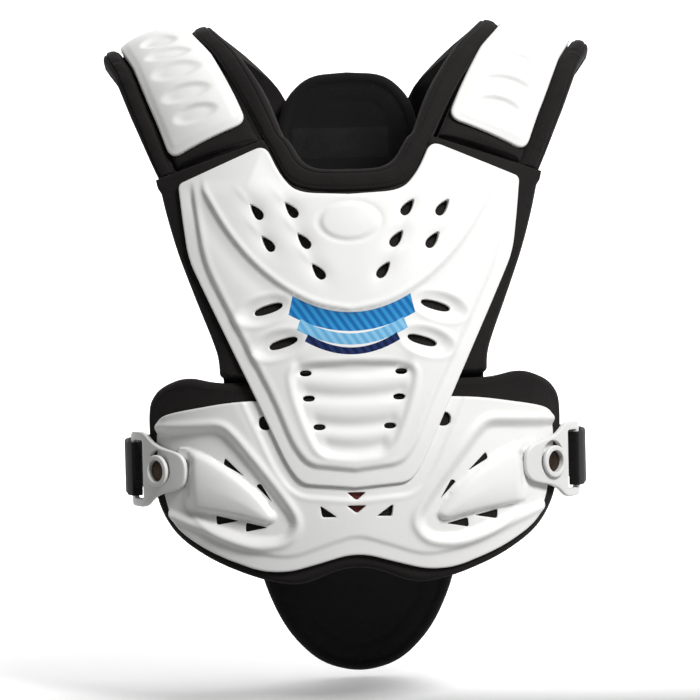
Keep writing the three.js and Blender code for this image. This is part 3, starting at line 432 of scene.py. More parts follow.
def flat_net(rim, pitch, bands=(), guides=(), holes=(), hole_bands=(0.5, 1.2)):
    """Corners and triangles of a flat sheet inside rim: rings beside the rim and the holes,
    guide lines, and an even field of points between them."""
    lines = [rim] + [offset(rim, d) for d in bands]
    for hole in holes:
        lines += [hole] + [offset(hole, -d) for d in hole_bands]
    lines += list(guides)
    fixed = np.concatenate(lines)
    low, high = rim.min(0), rim.max(0)
    rows = np.arange(low[1], high[1], pitch * 0.87)
    cols = np.arange(low[0], high[0] + pitch, pitch)
    grid = np.stack(np.meshgrid(cols, rows), -1)
    grid[1::2, :, 0] += pitch / 2
    grid = grid.reshape(-1, 2)
    cell = pitch * 0.45
    wide = int((high[0] - low[0]) / cell) + 20

    def cell_of(points, right=0, up=0):
        col, row = (np.floor((points - low) / cell).astype(np.int64) + [5 + right, 5 + up]).T
        return col + row * wide

    near = [cell_of(fixed, right, up) for right in (-1, 0, 1) for up in (-1, 0, 1)]
    grid = grid[~np.isin(cell_of(grid), np.unique(np.concatenate(near)))]
    grid = grid[inside(grid, rim) > pitch * 0.4]
    flat, tris = triangulated(np.concatenate([fixed, grid]), lines, 1e-4)
    middle = flat[tris].mean(1)
    keep = inside(middle, rim) > 0
    for hole in holes:
        near = keep & (np.abs(middle - hole.mean(0)).max(1) < np.ptp(hole, 0).max())
        gone = np.zeros(len(middle), bool)
        gone[near] = inside(middle[near], hole) > 0
        keep &= ~gone
    used, tris = np.unique(tris[keep], return_inverse=True)
    flat, tris = flat[used], tris.reshape(-1, 3)
    a, b, c = flat[tris[:, 0]], flat[tris[:, 1]], flat[tris[:, 2]]
    turn = (b[:, 0] - a[:, 0]) * (c[:, 1] - a[:, 1]) - (b[:, 1] - a[:, 1]) * (c[:, 0] - a[:, 0])
    tris, turn = tris[np.abs(turn) > 1e-9], turn[np.abs(turn) > 1e-9]
    tris[turn < 0] = tris[turn < 0][:, ::-1]
    return flat, tris


def grid_quads(rows, cols, close_rows=False, close_cols=False):
    """Quads of points numbered row by row, joined round where closed."""
    j, i = np.meshgrid(np.arange(rows if close_rows else rows - 1),
                       np.arange(cols if close_cols else cols - 1), indexing="ij")
    k, n = (j + 1) % rows, (i + 1) % cols
    return np.stack([j * cols + i, j * cols + n, k * cols + n, k * cols + i], -1).reshape(-1, 4)


def halved(quads):
    return np.concatenate([quads[:, [0, 1, 2]], quads[:, [0, 2, 3]]])


def offset(rim, d):
    """A closed line moved inwards by d, or outwards where d is below zero."""
    line = counter(rim)
    way = unit(np.roll(line, -1, 0) - np.roll(line, 1, 0))
    return line + np.stack([-way[:, 1], way[:, 0]], 1) * d


def rim_edges(tris):
    """Directed edges that only one triangle has."""
    edges = np.concatenate([tris[:, [0, 1]], tris[:, [1, 2]], tris[:, [2, 0]]])
    wide = edges.max() + 1
    there, back_way = edges[:, 0] * wide + edges[:, 1], edges[:, 1] * wide + edges[:, 0]
    return edges[~np.isin(there, back_way)]


def closed_sheet(flat, tris, place, top, low):
    """The net laid at height top, its copy at height low turned over, and walls between."""
    s, z = flat.T
    count = len(flat)
    points = np.concatenate([place(s, z, top), place(s, z, low)])
    rim = rim_edges(tris)
    a, b = rim.T
    walls = np.concatenate([np.stack([b, a, a + count], 1), np.stack([b, a + count, b + count], 1)])
    return points, np.concatenate([tris, tris[:, ::-1] + count, walls])


def shoulder(d, r):
    """Drop of a rounded edge of radius r at distance d from it: a quarter circle."""
    t = 1 - np.clip(d / r, 0, 1)
    return r * (1 - np.sqrt(np.maximum(1 - t * t, 0)))


def hole_round(flat, holes, r):
    """Drop of the rounded edges round the holes."""
    drop = np.zeros(len(flat))
    for hole in holes:
        near = np.abs(flat - hole.mean(0)).max(1) < np.ptp(hole, 0).max() / 2 + 2 * r
        drop[near] = np.maximum(drop[near], shoulder(-inside(flat[near], hole), r))
    return drop


def add_mesh(name, points, faces, sharp=None, uv=None, flip=False):
    """Object at the origin from points in millimetres and equal-sided faces."""
    faces = np.asarray(faces)[:, ::-1] if flip else np.asarray(faces)
    mesh = bpy.data.meshes.new(name)
    mesh.vertices.add(len(points))
    mesh.vertices.foreach_set("co", (np.asarray(points, float) * MM).astype(np.float32).ravel())
    sides = faces.shape[1]
    mesh.loops.add(faces.size)
    mesh.loops.foreach_set("vertex_index", faces.astype(np.int32).ravel())
    mesh.polygons.add(len(faces))
    mesh.polygons.foreach_set("loop_start", np.arange(len(faces), dtype=np.int32) * sides)
    mesh.update(calc_edges=True)
    if mesh.validate():
        raise RuntimeError(f"{name}: the mesh isn't valid")
    mesh.shade_smooth()
    if sharp:
        mesh.set_sharp_from_angle(angle=math.radians(sharp))
    if uv is not None:
        layer = mesh.uv_layers.new(name="flat")
        layer.data.foreach_set("uv", (uv * MM)[faces.ravel()].astype(np.float32).ravel())
    obj = bpy.data.objects.new(name, mesh)
    bpy.context.scene.collection.objects.link(obj)
    return obj


def seat(obj, node, finish, padding=None):
    obj.data.materials.append(finish)
    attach(obj, "root")
    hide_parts(node)
    return obj


def add_piece(name, node, slot, finish, points, faces, sharp, padding=None):
    return seat(add_mesh(name, points, faces, sharp), node, finish, padding)


def mirror_pair(name, node, slot, finish, points, faces, sharp, padding=None, uv=None,
                sides=("left", "right")):
    """The piece on the first side and its mirror image on the other, turned so it still faces
    outwards."""
    pair = [add_mesh(f"{name}_{sides[0]}", points, faces, sharp, uv),
            add_mesh(f"{name}_{sides[1]}", points * [-1, 1, 1], faces, sharp, uv, flip=True)]
    for obj, side in zip(pair, sides):
        seat(obj, f"{node}_{side}", finish, padding)
    return pair


def paint(obj, finishes, numbers, start=0):
    """Adds finishes, and gives the faces from start on their numbers. The others keep the first."""
    for finish in finishes:
        obj.data.materials.append(finish)
    index = np.zeros(len(obj.data.polygons), np.int32)
    index[start:start + len(numbers)] = numbers
    obj.data.polygons.foreach_set("material_index", index)


def fix_facing(obj):
    """Turns every face outwards on a closed piece."""
    work = bmesh.new()
    work.from_mesh(obj.data)
    bmesh.ops.recalc_face_normals(work, faces=work.faces)
    work.to_mesh(obj.data)
    work.free()


# Finishes
def nodes_of(name, **inputs):
    """An empty material with its shader, whose inputs are given with _ for a space."""
    material = bpy.data.materials.new(name)
    material.use_nodes = True
    tree = material.node_tree
    tree.nodes.clear()
    out = tree.nodes.new("ShaderNodeOutputMaterial")
    named = {key.replace("_", " "): value for key, value in inputs.items()}
    shader = add_node(tree, "ShaderNodeBsdfPrincipled", named)
    tree.links.new(shader.outputs["BSDF"], out.inputs["Surface"])
    return material, tree, shader


def add_node(tree, kind, inputs=None, **settings):
    node = tree.nodes.new(kind)
    for key, value in settings.items():
        setattr(node, key, value)
    for key, value in (inputs or {}).items():
        if isinstance(value, bpy.types.NodeSocket):
            tree.links.new(value, node.inputs[key])
        else:
            node.inputs[key].default_value = value
    return node


def place_socket(tree, scale=(1, 1, 1), uv=None):
    source = add_node(tree, "ShaderNodeUVMap", uv_map=uv).outputs["UV"] if uv else \
        add_node(tree, "ShaderNodeTexCoord").outputs["Object"]
    return add_node(tree, "ShaderNodeMapping", {"Vector": source, "Scale": scale}).outputs["Vector"]


def noise(tree, place, scale, detail=3.0, rough=0.5):
    return add_node(tree, "ShaderNodeTexNoise",
                    {"Vector": place, "Scale": scale, "Detail": detail, "Roughness": rough}).outputs["Fac"]


def ramp(tree, value, stops):
    node = add_node(tree, "ShaderNodeValToRGB", {"Fac": value})
    band = node.color_ramp
    for i, (at, color) in enumerate(stops):
        element = band.elements[i] if i < 2 else band.elements.new(at)
        element.position, element.color = at, (*color, 1)
    return node.outputs["Color"]


def math_node(tree, operation, a, b=0.0, c=0.0):
    return add_node(tree, "ShaderNodeMath", {0: a, 1: b, 2: c}, operation=operation).outputs[0]


def bump(tree, height, distance, strength=1.0, under=None):
    inputs = {"Height": height, "Distance": distance, "Strength": strength}
    if under is not None:
        inputs["Normal"] = under
    return add_node(tree, "ShaderNodeBump", inputs).outputs["Normal"]


def moulded(name, color, roughness):
    """Glossy moulded plastic: faint cloudy tone, fine pebble and small handling marks."""
    if name in bpy.data.materials:
        return bpy.data.materials[name]
    material, tree, shader = nodes_of(name, IOR=1.49)
    place = place_socket(tree)
    tone = noise(tree, place, 14.0, 4.0)
    c = np.array(color)
    dim = tuple(c * [0.965, 0.962, 0.955])
    tree.links.new(ramp(tree, tone, [(0.35, dim), (0.65, tuple(c))]), shader.inputs["Base Color"])
    scuff = noise(tree, place, 55.0, 6.0, 0.7)
    rough = add_node(tree, "ShaderNodeMapRange", {0: scuff, 1: 0.35, 2: 0.75,
                                                  3: roughness - 0.05, 4: roughness + 0.09})
    tree.links.new(rough.outputs[0], shader.inputs["Roughness"])
    pebble = noise(tree, place, 900.0, 2.0)
    soft = noise(tree, place, 60.0, 1.0)
    normal = bump(tree, pebble, 0.00006, 0.5, bump(tree, soft, 0.0004, 0.25))
    tree.links.new(normal, shader.inputs["Normal"])
    return material


def printed(name, color, light):
    """Glossy printed film: slanting streaks that fade into each other."""
    material, tree, shader = nodes_of(name, Roughness=0.22)
    split = add_node(tree, "ShaderNodeSeparateXYZ", {0: place_socket(tree)})
    lean = math_node(tree, "MULTIPLY_ADD", split.outputs[2], 0.7, split.outputs[0])
    wave = math_node(tree, "SINE", math_node(tree, "MULTIPLY", lean, 2 * math.pi / 0.0075))
    tree.links.new(ramp(tree, math_node(tree, "MULTIPLY_ADD", wave, 0.5, 0.5),
                        [(0.4, color), (0.62, light)]), shader.inputs["Base Color"])
    film = noise(tree, place_socket(tree), 90.0, 2.0)
    tree.links.new(bump(tree, film, 0.0002, 0.2), shader.inputs["Normal"])
    return material


def knitted(name, color, light, scale=1.0):
    """Knit-faced foam: rows of small loops, a dusty nap and slow tone changes."""
    if name in bpy.data.materials:
        return bpy.data.materials[name]
    material, tree, shader = nodes_of(name, Roughness=0.9, Specular_IOR_Level=0.22, Sheen_Weight=0.05,
                                      Sheen_Roughness=0.5)
    place = place_socket(tree)
    cells = add_node(tree, "ShaderNodeTexVoronoi", {"Vector": place, "Scale": 850.0 * scale,
                                                    "Randomness": 0.45}, feature="F1").outputs["Distance"]
    tone = noise(tree, place, 22.0, 5.0, 0.6)
    # The colour takes the loops' cells as well as the slow tone. The pits between the loops, low in the
    # bump, are painted darker as painted shade. The slow tone changes are the knit's own.
    tone_and_pit_shade = math_node(tree, "MULTIPLY_ADD", tone, 0.75, math_node(tree, "MULTIPLY", cells, 0.3))
    tree.links.new(ramp(tree, tone_and_pit_shade, [(0.3, color), (0.72, light)]), shader.inputs["Base Color"])
    nap = noise(tree, place, 260.0 * scale, 4.0, 0.7)
    rumple = noise(tree, place, 38.0, 3.0, 0.55)
    normal = bump(tree, cells, 0.0005, 0.7, bump(tree, nap, 0.0006, 0.35,
                                                 bump(tree, rumple, 0.0022, 0.35)))
    tree.links.new(normal, shader.inputs["Normal"])
    return material


def woven(name, color, light):
    """Webbing: ribs across and along the strap, drawn on its own flat map in metres."""
    material, tree, shader = nodes_of(name, Roughness=0.75, Specular_IOR_Level=0.25, Sheen_Weight=0.05)
    place = place_socket(tree, uv="flat")
    split = add_node(tree, "ShaderNodeSeparateXYZ", {0: place})
    along = math_node(tree, "SINE", math_node(tree, "MULTIPLY", split.outputs[0], 2 * math.pi / 0.0021))
    across = math_node(tree, "SINE", math_node(tree, "MULTIPLY", split.outputs[1], 2 * math.pi / 0.0016))
    weave = math_node(tree, "MULTIPLY", along, across)
    dust = noise(tree, place_socket(tree), 70.0, 4.0)
    height = math_node(tree, "MULTIPLY_ADD", weave, 0.5, 0.5)
    # The colour follows the weave's height and the dust. The dips between the ribs are painted darker and
    # the crests lighter, as painted shade. The dust is the webbing's own.
    tone = math_node(tree, "MULTIPLY_ADD", height, 0.5, math_node(tree, "MULTIPLY", dust, 0.5))
    tree.links.new(ramp(tree, tone, [(0.25, color), (0.8, light)]), shader.inputs["Base Color"])
    tree.links.new(bump(tree, height, 0.0004, 0.8), shader.inputs["Normal"])
    return material


def bronzed(name, color):
    """Dark plated metal with tarnish, which also sets its roughness and fine bumps."""
    material, tree, shader = nodes_of(name, Metallic=1.0)
    place = place_socket(tree)
    tarnish = noise(tree, place, 180.0, 5.0, 0.65)
    c = np.array(color)
    tree.links.new(ramp(tree, tarnish, [(0.3, tuple(c * 0.6)), (0.7, tuple(c * 1.25))]),
                   shader.inputs["Base Color"])
    rough = add_node(tree, "ShaderNodeMapRange", {0: tarnish, 1: 0.3, 2: 0.7, 3: 0.32, 4: 0.52})
    tree.links.new(rough.outputs[0], shader.inputs["Roughness"])
    tree.links.new(bump(tree, tarnish, 0.0002, 0.3), shader.inputs["Normal"])
    return material


def settings():
    return bpy.context.scene.roost


def white_plastic():
    return moulded("white moulded plastic", settings().plate_color, settings().plate_rough)


def front_fabric():
    c = np.array(settings().liner_color)
    return knitted("charcoal knit over foam", tuple(c), tuple(c * 2.0))


def back_fabric():
    c = np.array(settings().back_color)
    return knitted("black knit over foam", tuple(c), tuple(c * 2.1), 1.2)


# Chest plate
def chest_rim(table, step=4):
    return edge_of(front_layer, table, CHEST_HALF, CHEST_TOP, CHEST_TALL, CHEST_FACE, step)


def on_chest(points):
    return counter(flatten(front_layer, points, CHEST_FACE))


def chest_xz(x, drop):
    return x * CHEST_HALF, CHEST_TOP - drop * CHEST_TALL


def tilted(flat, x, z, tilt):
    """Coordinates along and across a tilted mark at x, z."""
    turn = math.radians(tilt)
    u, v = flat[:, 0] - x, flat[:, 1] - z
    return u * math.cos(turn) + v * math.sin(turn), v * math.cos(turn) - u * math.sin(turn)


def on_sides(points):
    return [points, mirror_flat(points)]


def stripe(drop_mid, half, tall, lift):
    """A shallow arched bar with slanting ends."""
    u = np.linspace(-1, 1, 41)
    arch = lift * u * u
    top = np.stack([u * half * 0.93, drop_mid - tall / 2 - arch], 1)
    low = np.stack([u * half, drop_mid + tall / 2 - arch], 1)
    line = np.concatenate([top, low[::-1]])
    return line * [CHEST_HALF, -CHEST_TALL] + [0, CHEST_TOP]


def chest_relief(flat, edge):
    """Sum of soft steps of the distances to the panel, shield and rib lines, with bells at the
    vents and the boss. Near the plate's top it fades out towards the edge."""
    s, z = flat.T
    panel = inside(flat, chest_rim(CHEST_PANEL))
    shield = inside(flat, chest_rim(CHEST_SHIELD))
    ribs = inside(flat, chest_rim(RIB_FIELD))
    h = PANEL_RISE * smooth((panel + 1.8) / 4.8) + PANEL_LIP * hump((panel - 4.2) / 2.4)
    h += SHIELD_RISE * smooth((shield + 5) / 6) + SHIELD_LIP * hump(shield / 2.6)
    h -= SHIELD_GROOVE * hump((shield + 12) / 8)
    h += RIB_LIP * hump((ribs + 2.2) / 2.2) - RIB_SUNK * smooth((ribs + 0.5) / 4.5)
    drop = (CHEST_TOP - z) / CHEST_TALL
    for half, at, _ in VALLEYS:
        wide = half * CHEST_HALF
        bow = at - 0.014 * (s / wide) ** 2
        h -= VALLEY_DEEP * hump((drop - bow) * CHEST_TALL / 6.2) * smooth((wide + 2 - np.abs(s)) / 9)
    mirrored = np.stack([np.abs(s), z], 1)
    for x, drop_at in TEARS:
        a, b = tilted(mirrored, *flatten(front_layer, [chest_xz(x, drop_at)], CHEST_FACE)[0], TEAR_TILT)
        h -= TEAR_HOLLOW * hump(np.hypot((a - 1) / 13, b / 7.5))
        h += TEAR_LIP * hump(np.hypot((a - 18) / 9, b / 2.4))
    for x, drop_at in SLOTS:
        a, b = tilted(mirrored, *flatten(front_layer, [chest_xz(x, drop_at)], CHEST_FACE)[0], SLOT_TILT)
        r = np.hypot((a - 4) / 19, b / 10)
        h -= SLOT_HOLLOW * smooth((1.3 - r) / 0.75) * (1 + a / 45)
        h += SLOT_LIP * hump((r - 1.28) / 0.2)
    r = np.hypot(s / (BOSS_WIDE / 2), (z - chest_xz(0, BOSS_DROP)[1]) / (BOSS_TALL / 2))
    h += BOSS_RISE * smooth((1.05 - r) / 0.14) + BOSS_DOME * np.clip(1 - r * r, 0, 1)
    h -= BOSS_GROOVE * hump((r - 1.14) / 0.09)
    return h * mix(1, smooth((edge + 1) / 34), smooth((z + 138) / 22))


def chest_holes():
    marks = [(tear(TEAR_LONG, TEAR_WIDE), x, drop, TEAR_TILT) for x, drop in TEARS]
    marks += [(oval(SLOT_LONG, SLOT_WIDE), x, drop, SLOT_TILT) for x, drop in SLOTS]
    marks += [(oval(RIB_VENT_LONG, RIB_VENT_WIDE), x, drop, 0) for _, drop, x in VALLEYS if x]
    holes = []
    for shape, x, drop, tilt in marks:
        holes += on_sides(on_chest(patch(shape, *chest_xz(x, drop), tilt)))
    return holes


def chest_plate_piece():
    rim, holes = chest_rim(CHEST_EDGE, 1.6), chest_holes()
    bars = [on_chest(fine(stripe(at, half, tall, lift), 2)) for at, half, tall, lift, _ in BARS]
    flat, tris = flat_net(rim, settings().net_pitch, EDGE_BANDS, bars, holes)
    edge = inside(flat, rim)
    top = CHEST_FACE + chest_relief(flat, edge) - shoulder(edge, PLATE_EDGE)
    top -= hole_round(flat, holes, HOLE_EDGE)
    obj = add_piece("chest_plate_shell", "chest_plate", "white_plate", white_plastic(),
                    *closed_sheet(flat, tris, front_layer, top, CHEST_BASE), PLATE_SHARP)
    middle, number = flat[tris].mean(1), np.zeros(len(tris), np.int32)
    for bar, (*_, print_number) in zip(bars, BARS):
        number[inside(middle, bar) > 0] = print_number
    paint(obj, [printed(*row) for row in PRINTS], number)


# Belt plate
def on_belt(points):
    return counter(flatten(front_layer, points, BELT_FACE))


def belt_xz(x, drop):
    return x * BELT_HALF, BELT_TOP - drop * BELT_TALL


def belt_rim(table, step=4):
    return edge_of(front_layer, table, BELT_HALF, BELT_TOP, BELT_TALL, BELT_FACE, step)


def belt_side(table):
    """A closed outline on one side of the belt plate."""
    return on_belt(fine(rounded(scaled(table, BELT_HALF, BELT_TOP, BELT_TALL)), 4))


def belt_vent(row):
    """A three-cornered vent, grown about its middle."""
    points = np.array([belt_xz(*row[i:i + 2]) for i in (0, 2, 4)])
    middle = points.mean(0)
    points = middle + VENT_GROW * (points - middle)
    return on_belt(fine(rounded([[x, z, 2.2] for x, z in points], 4), 1.5))


def belt_relief(flat, chest):
    """Soft steps of the distances to the flange, the side panels, the leaf hollows and the
    horns, a seat for the chest plate and a crease across each horn."""
    side, z = np.abs(flat[:, 0]), flat[:, 1]
    mirrored = np.stack([side, z], 1)
    panel, leaf, horn = (inside(mirrored, belt_side(table)) for table in (BELT_PANEL, LEAF, HORN))
    inner = inside(flat, belt_rim(BELT_INNER))
    h = FLANGE_RISE * smooth((inner + 2) / 4.5)
    h += WING_RISE * smooth((panel + 4) / 10) * smooth((side - 62) / 30)
    h -= LEAF_DEEP * smooth(leaf / 8)
    h += LEAF_LIP * hump((leaf + 2.2) / 3.2)
    peak = np.clip(horn / 24, 0, 1)
    swell = HORN_STEP * smooth((horn + 1) / 5) + HORN_SWELL * np.sqrt(1 - (1 - peak) ** 2)
    h += swell * mix(1, smooth((152 - side) / 20), smooth((-352 - z) / 6))
    h -= CHEST_SEAT * smooth((chest + 11.5) / 3.5) - 0.5 * hump((chest + 12.5) / 1.8)
    crease = (side - 148) + 0.42 * (z + 358) + 5 * np.sin((z + 372) / 9)
    h -= CREASE_DEEP * hump(crease / 4.2) * smooth((horn + 2) / 6) * smooth((-343 - z) / 6)
    return h


def buckle_seat(flat):
    """1 under the stud and the webbing's end of the buckle, falling to 0 round them."""
    side, level = np.abs(flat[:, 0]), np.abs(flat[:, 1] + STUD_DROP)
    stud = 1 - smooth((np.hypot(side - STUD_ARC, level) - 15) / 8)
    band = np.interp(side, *BUCKLE_SEAT.T)
    return np.clip(stud + smooth((side - 140) / 4) * smooth((band + 5 - level) / 5), 0, 1)


def belt_plate_piece():
    rim, holes = belt_rim(BELT_EDGE, 1.6), []
    for row in WING_VENTS:
        holes += on_sides(belt_vent(row))
    holes += [belt_vent(row) for row in MIDDLE_VENTS]
    edge_vent = patch(oval(2 * EDGE_VENT, 2 * EDGE_VENT), *belt_xz(*EDGE_VENT_AT), 0)
    holes += on_sides(on_belt(edge_vent))
    shank = 2 * (RIVET_SHANK + FIT)
    stud_hole = patch(oval(shank, shank, 20), STUD_ARC, -STUD_DROP, 0)
    flat, tris = flat_net(rim, settings().net_pitch, EDGE_BANDS, (), holes + on_sides(stud_hole))
    chest = inside(flat, chest_rim(CHEST_EDGE))
    top = BELT_FACE + belt_relief(flat, chest) - shoulder(inside(flat, rim), PLATE_EDGE)
    top -= hole_round(flat, holes, HOLE_EDGE)
    top = mix(top, np.minimum(top, BELT_FACE), buckle_seat(flat))
    top = np.where(chest > -1, np.minimum(top, BELT_FACE), top)
    top = np.maximum(top, BELT_BASE + BELT_THIN)
    obj = add_piece("belt_plate_shell", "belt_plate", "white_plate", white_plastic(),
                    *closed_sheet(flat, tris, front_layer, top, BELT_BASE), PLATE_SHARP)
    paint(obj, [back_fabric()], chest[tris].min(1) > 4)


# Liners
def seam_z(x):
    return mix(-SEAM_IN_DROP, -SEAM_OUT_DROP, (x - SEAM_IN_HALF) / (CHEST_FOAM_HALF - SEAM_IN_HALF))


NECK_TOP = seam_z(NECK_HALF)


def neck_z(drop):
    return NECK_TOP - drop * NECK_TALL


def pad_faces(flat, rim, thick):
    """Distance from a pad's rim, and its top and bottom with quarter rounds there."""
    d = inside(flat, rim)
    top = thick - shoulder(d, thick * 0.55)
    low = shoulder(d, thick * 0.3)
    return d, top, low


def chest_liner_piece():
    rows = [[x * NECK_HALF - (TUCK if x else 0), neck_z(drop) + TUCK / 2, 0] for x, drop, _, _ in NECK]
    rows.append([NECK_HALF - TUCK, NECK_TOP - SEAM, 0])
    rows += [[x * CHEST_FOAM_HALF, mix(-SEAM_OUT_DROP - SEAM, -CHEST_FOAM_DROP, drop), c]
             for x, drop, c in CHEST_FOAM_SIDE]
    flap_z = -CHEST_FOAM_DROP - FLAP
    rows += [[FLAP_HALF * CHEST_FOAM_HALF, flap_z, 3], [0, flap_z, 0]]
    rim = counter(flatten(front_layer, fine(rounded(both(rows)), 2.2), 0))
    flat, tris = flat_net(rim, CHEST_FOAM_PITCH, (0.5, 1.4, 3.0, 5.0))
    d, top, low = pad_faces(flat, rim, CHEST_FOAM)
    near_seam = smooth((flat[:, 1] - seam_z(np.abs(flat[:, 0])) + 12) / 6)
    top = mix(top, CHEST_FOAM - shoulder(d, 1.4), near_seam)
    top -= 0.9 * hump((d - 8) / 1.1) * (1 - near_seam)
    behind = smooth((-flat[:, 1] - CHEST_FOAM_DROP + 4.5) / 3.5)
    top, low = mix(top, -0.7, behind), mix(low, -2.3, behind)
    add_piece("chest_liner_pad", "chest_liner", "front_foam", front_fabric(),
              *closed_sheet(flat, tris, front_layer, top, low), PAD_SHARP, FLAT_FILL)


def belt_liner_piece():
    rim = edge_of(front_layer, WAIST_FOAM_EDGE, WAIST_FOAM_HALF, WAIST_FOAM_TOP, WAIST_FOAM_TALL,
                  WAIST_FOAM, 2.2)
    flat, tris = flat_net(rim, WAIST_FOAM_PITCH, (0.5, 1.4, 3.0, 5.0, 6.2, 7.4))
    d, top, low = pad_faces(flat, rim, WAIST_FOAM)
    top += 0.5 * hump((d - 6.2) / 1.0) - 0.5 * hump((d - 8.2) / 1.0)
    top = np.minimum(top, WAIST_FOAM + 0.3)
    obj = add_piece("belt_liner_pad", "belt_liner", "front_foam", front_fabric(),
                    *closed_sheet(flat, tris, front_layer, top, low), PAD_SHARP, FLAT_FILL)
    middle = flat[tris].mean(1)
    red = (np.abs(middle[:, 0]) < 13) & (np.abs(middle[:, 1] + 395) < 16)
    paint(obj, [knitted("red lining", (0.07, 0.014, 0.011), (0.12, 0.03, 0.024))], red)


# Shoulder straps
def chord_root(a, b):
    """Square root of the distance between two rows of points."""
    return ((a - b) ** 2).sum(-1, keepdims=True) ** 0.25


class Rail:
    """A smooth line through points whose steps go as the square root of the chord."""

    def __init__(self, points):
        self.points = np.asarray(points, float)

    def at(self, t):
        p = self.points
        last = len(p) - 1
        where = np.clip(np.asarray(t, float), 0, 1) * last
        i = np.minimum(np.floor(where).astype(int), last - 1)
        w = (where - i)[..., None]
        ends = np.concatenate([[2 * p[0] - p[1]], p, [2 * p[-1] - p[-2]]])
        p0, p1, p2, p3 = ends[i], ends[i + 1], ends[i + 2], ends[i + 3]
        d0, d1, d2 = chord_root(p0, p1), chord_root(p1, p2), chord_root(p2, p3)
        t1 = ((p1 - p0) / d0 - (p2 - p0) / (d0 + d1) + (p2 - p1) / d1) * d1
        t2 = ((p2 - p1) / d1 - (p3 - p1) / (d1 + d2) + (p3 - p2) / d2) * d1
        return (p1 + t1 * w + (-3 * p1 + 3 * p2 - 2 * t1 - t2) * w ** 2
                + (2 * p1 - 2 * p2 + t1 + t2) * w ** 3)

    def tangent(self, t):
        t = np.asarray(t, float)
        return unit(self.at(np.clip(t + 1e-4, 0, 1)) - self.at(np.clip(t - 1e-4, 0, 1)))


def seam_flat(x, z):
    return flatten(front_layer, [[-x, z]], 0)[0]


SEAM_OUT = seam_flat(CHEST_FOAM_HALF, -SEAM_OUT_DROP)
SEAM_IN = seam_flat(SEAM_IN_HALF, -SEAM_IN_DROP)


def rail_of(seam, rows, end):
    middle = rows * [-SHOULDER_HALF, BODY_HALF_DEEP, -STRAP_DROP]
    start = front_layer(seam[0], seam[1], 0.0)
    finish = back_layer(end[0], end[1], SHELL_FACE + BACK_LAY)
    return Rail(np.concatenate([start[None], middle, finish[None]]))


OUTER = rail_of(SEAM_OUT, STRAP[:, :3], (STRAP_END_OUT, -STRAP_END_OUT_DROP))
INNER = rail_of(SEAM_IN, STRAP[:, 3:], (STRAP_END_IN, -STRAP_END_IN_DROP))


def strap_at(share, v):
    """Point and upward direction on the strap: the line between both rails, arched at its
    ends, with up square to the line and the run, turned to the chest's own at the seam."""
    share, v = np.broadcast_arrays(np.asarray(share, float), np.asarray(v, float))
    t = np.clip(v / STRAP_LONG, 0, 1)
    outer = OUTER.at(t)
    across = INNER.at(t) - outer
    k = share[..., None]
    along = mix(OUTER.tangent(t), INNER.tangent(t), k)
    up = unit(np.cross(across, along))
    at_seam, at_end = smooth(1 - v / STRAP_SPAN), smooth(1 - (STRAP_LONG - v) / STRAP_SPAN)
    seam = mix(SEAM_OUT, SEAM_IN, k)
    up = unit(mix(up, normal_on(front, seam[..., 0], seam[..., 1]), at_seam[..., None]))
    arch = STRAP_ROUND * (at_seam + at_end) * 4 * share * (1 - share)
    return outer + across * k + up * arch[..., None], up


def strap_layer(u, v, h):
    point, up = strap_at(u / STRAP_WIDE, v)
    return point + up * np.asarray(h, float)[..., None]


def inner_share(v):
    at = np.clip(np.asarray(v, float) / STRAP_SPAN, 0, len(INNER_ROLL) - 1)
    return 1 - np.interp(at, np.arange(len(INNER_ROLL)), INNER_ROLL)


def station(v, start, end):
    a, up_a = strap_at(start, v)
    b, up_b = strap_at(end, v)
    return a, b, unit(up_a + up_b)


def crown(u, v):
    q = np.clip((u / STRAP_WIDE - CAP_SIDE) / (CAP_INNER - CAP_SIDE), 0, 1)
    ends = mix(0.4, 1, smooth(v / STRAP_SPAN)) * smooth((STRAP_LONG - v) / (2 * STRAP_SPAN))
    return PAD_CROWN * 4 * q * (1 - q) * ends


def roll_surface(start, end, up, wrinkle):
    """Half-round section carried along two edges: the width goes as minus the cosine and the
    height as the sine to a power, with small folds across, and a flat underside."""
    angle = np.linspace(0, math.pi, ROLL_SIDES + 1)
    middle, half = (start + end) / 2, (end - start) / 2
    rise = ROLL_TALL * (np.maximum(np.sin(angle), 0) ** 0.52
                        - 0.09 * hump((np.cos(angle) - 0.52) / 0.07)
                        - 0.05 * hump((np.cos(angle) + 0.6) / 0.06))
    rise = rise[None] * (1 + wrinkle)
    ring = (middle[:, None] - half[:, None] * np.cos(angle)[None, :, None]
            + up[:, None] * rise[..., None])
    under = middle[:, None] - half[:, None] * np.cos(angle[::-1][1:-1:3])[None, :, None]
    ring = np.concatenate([ring, under], 1)
    count, around = ring.shape[:2]
    quads = grid_quads(count, around, close_cols=True)
    points = ring.reshape(-1, 3)
    ends = []
    for row, turn in ((0, False), (count - 1, True)):
        ids = row * around + np.arange(around)
        hub = len(points)
        points = np.concatenate([points, points[ids].mean(0)[None]])
        fan = np.stack([ids, np.full(around, hub), np.roll(ids, -1)], 1)
        ends.append(fan[:, ::-1] if turn else fan)
    return points, np.concatenate([halved(quads), *ends])


def along_line(rows, count):
    """Rows of numbers carried smoothly through: a rail over their index, evenly run."""
    rail = Rail(rows)
    fine_t = np.linspace(0, 1, 1201)
    run = run_of(rail.at(fine_t)[:, :3])
    return rail.at(np.interp(np.linspace(0, run[-1], count), run, fine_t))


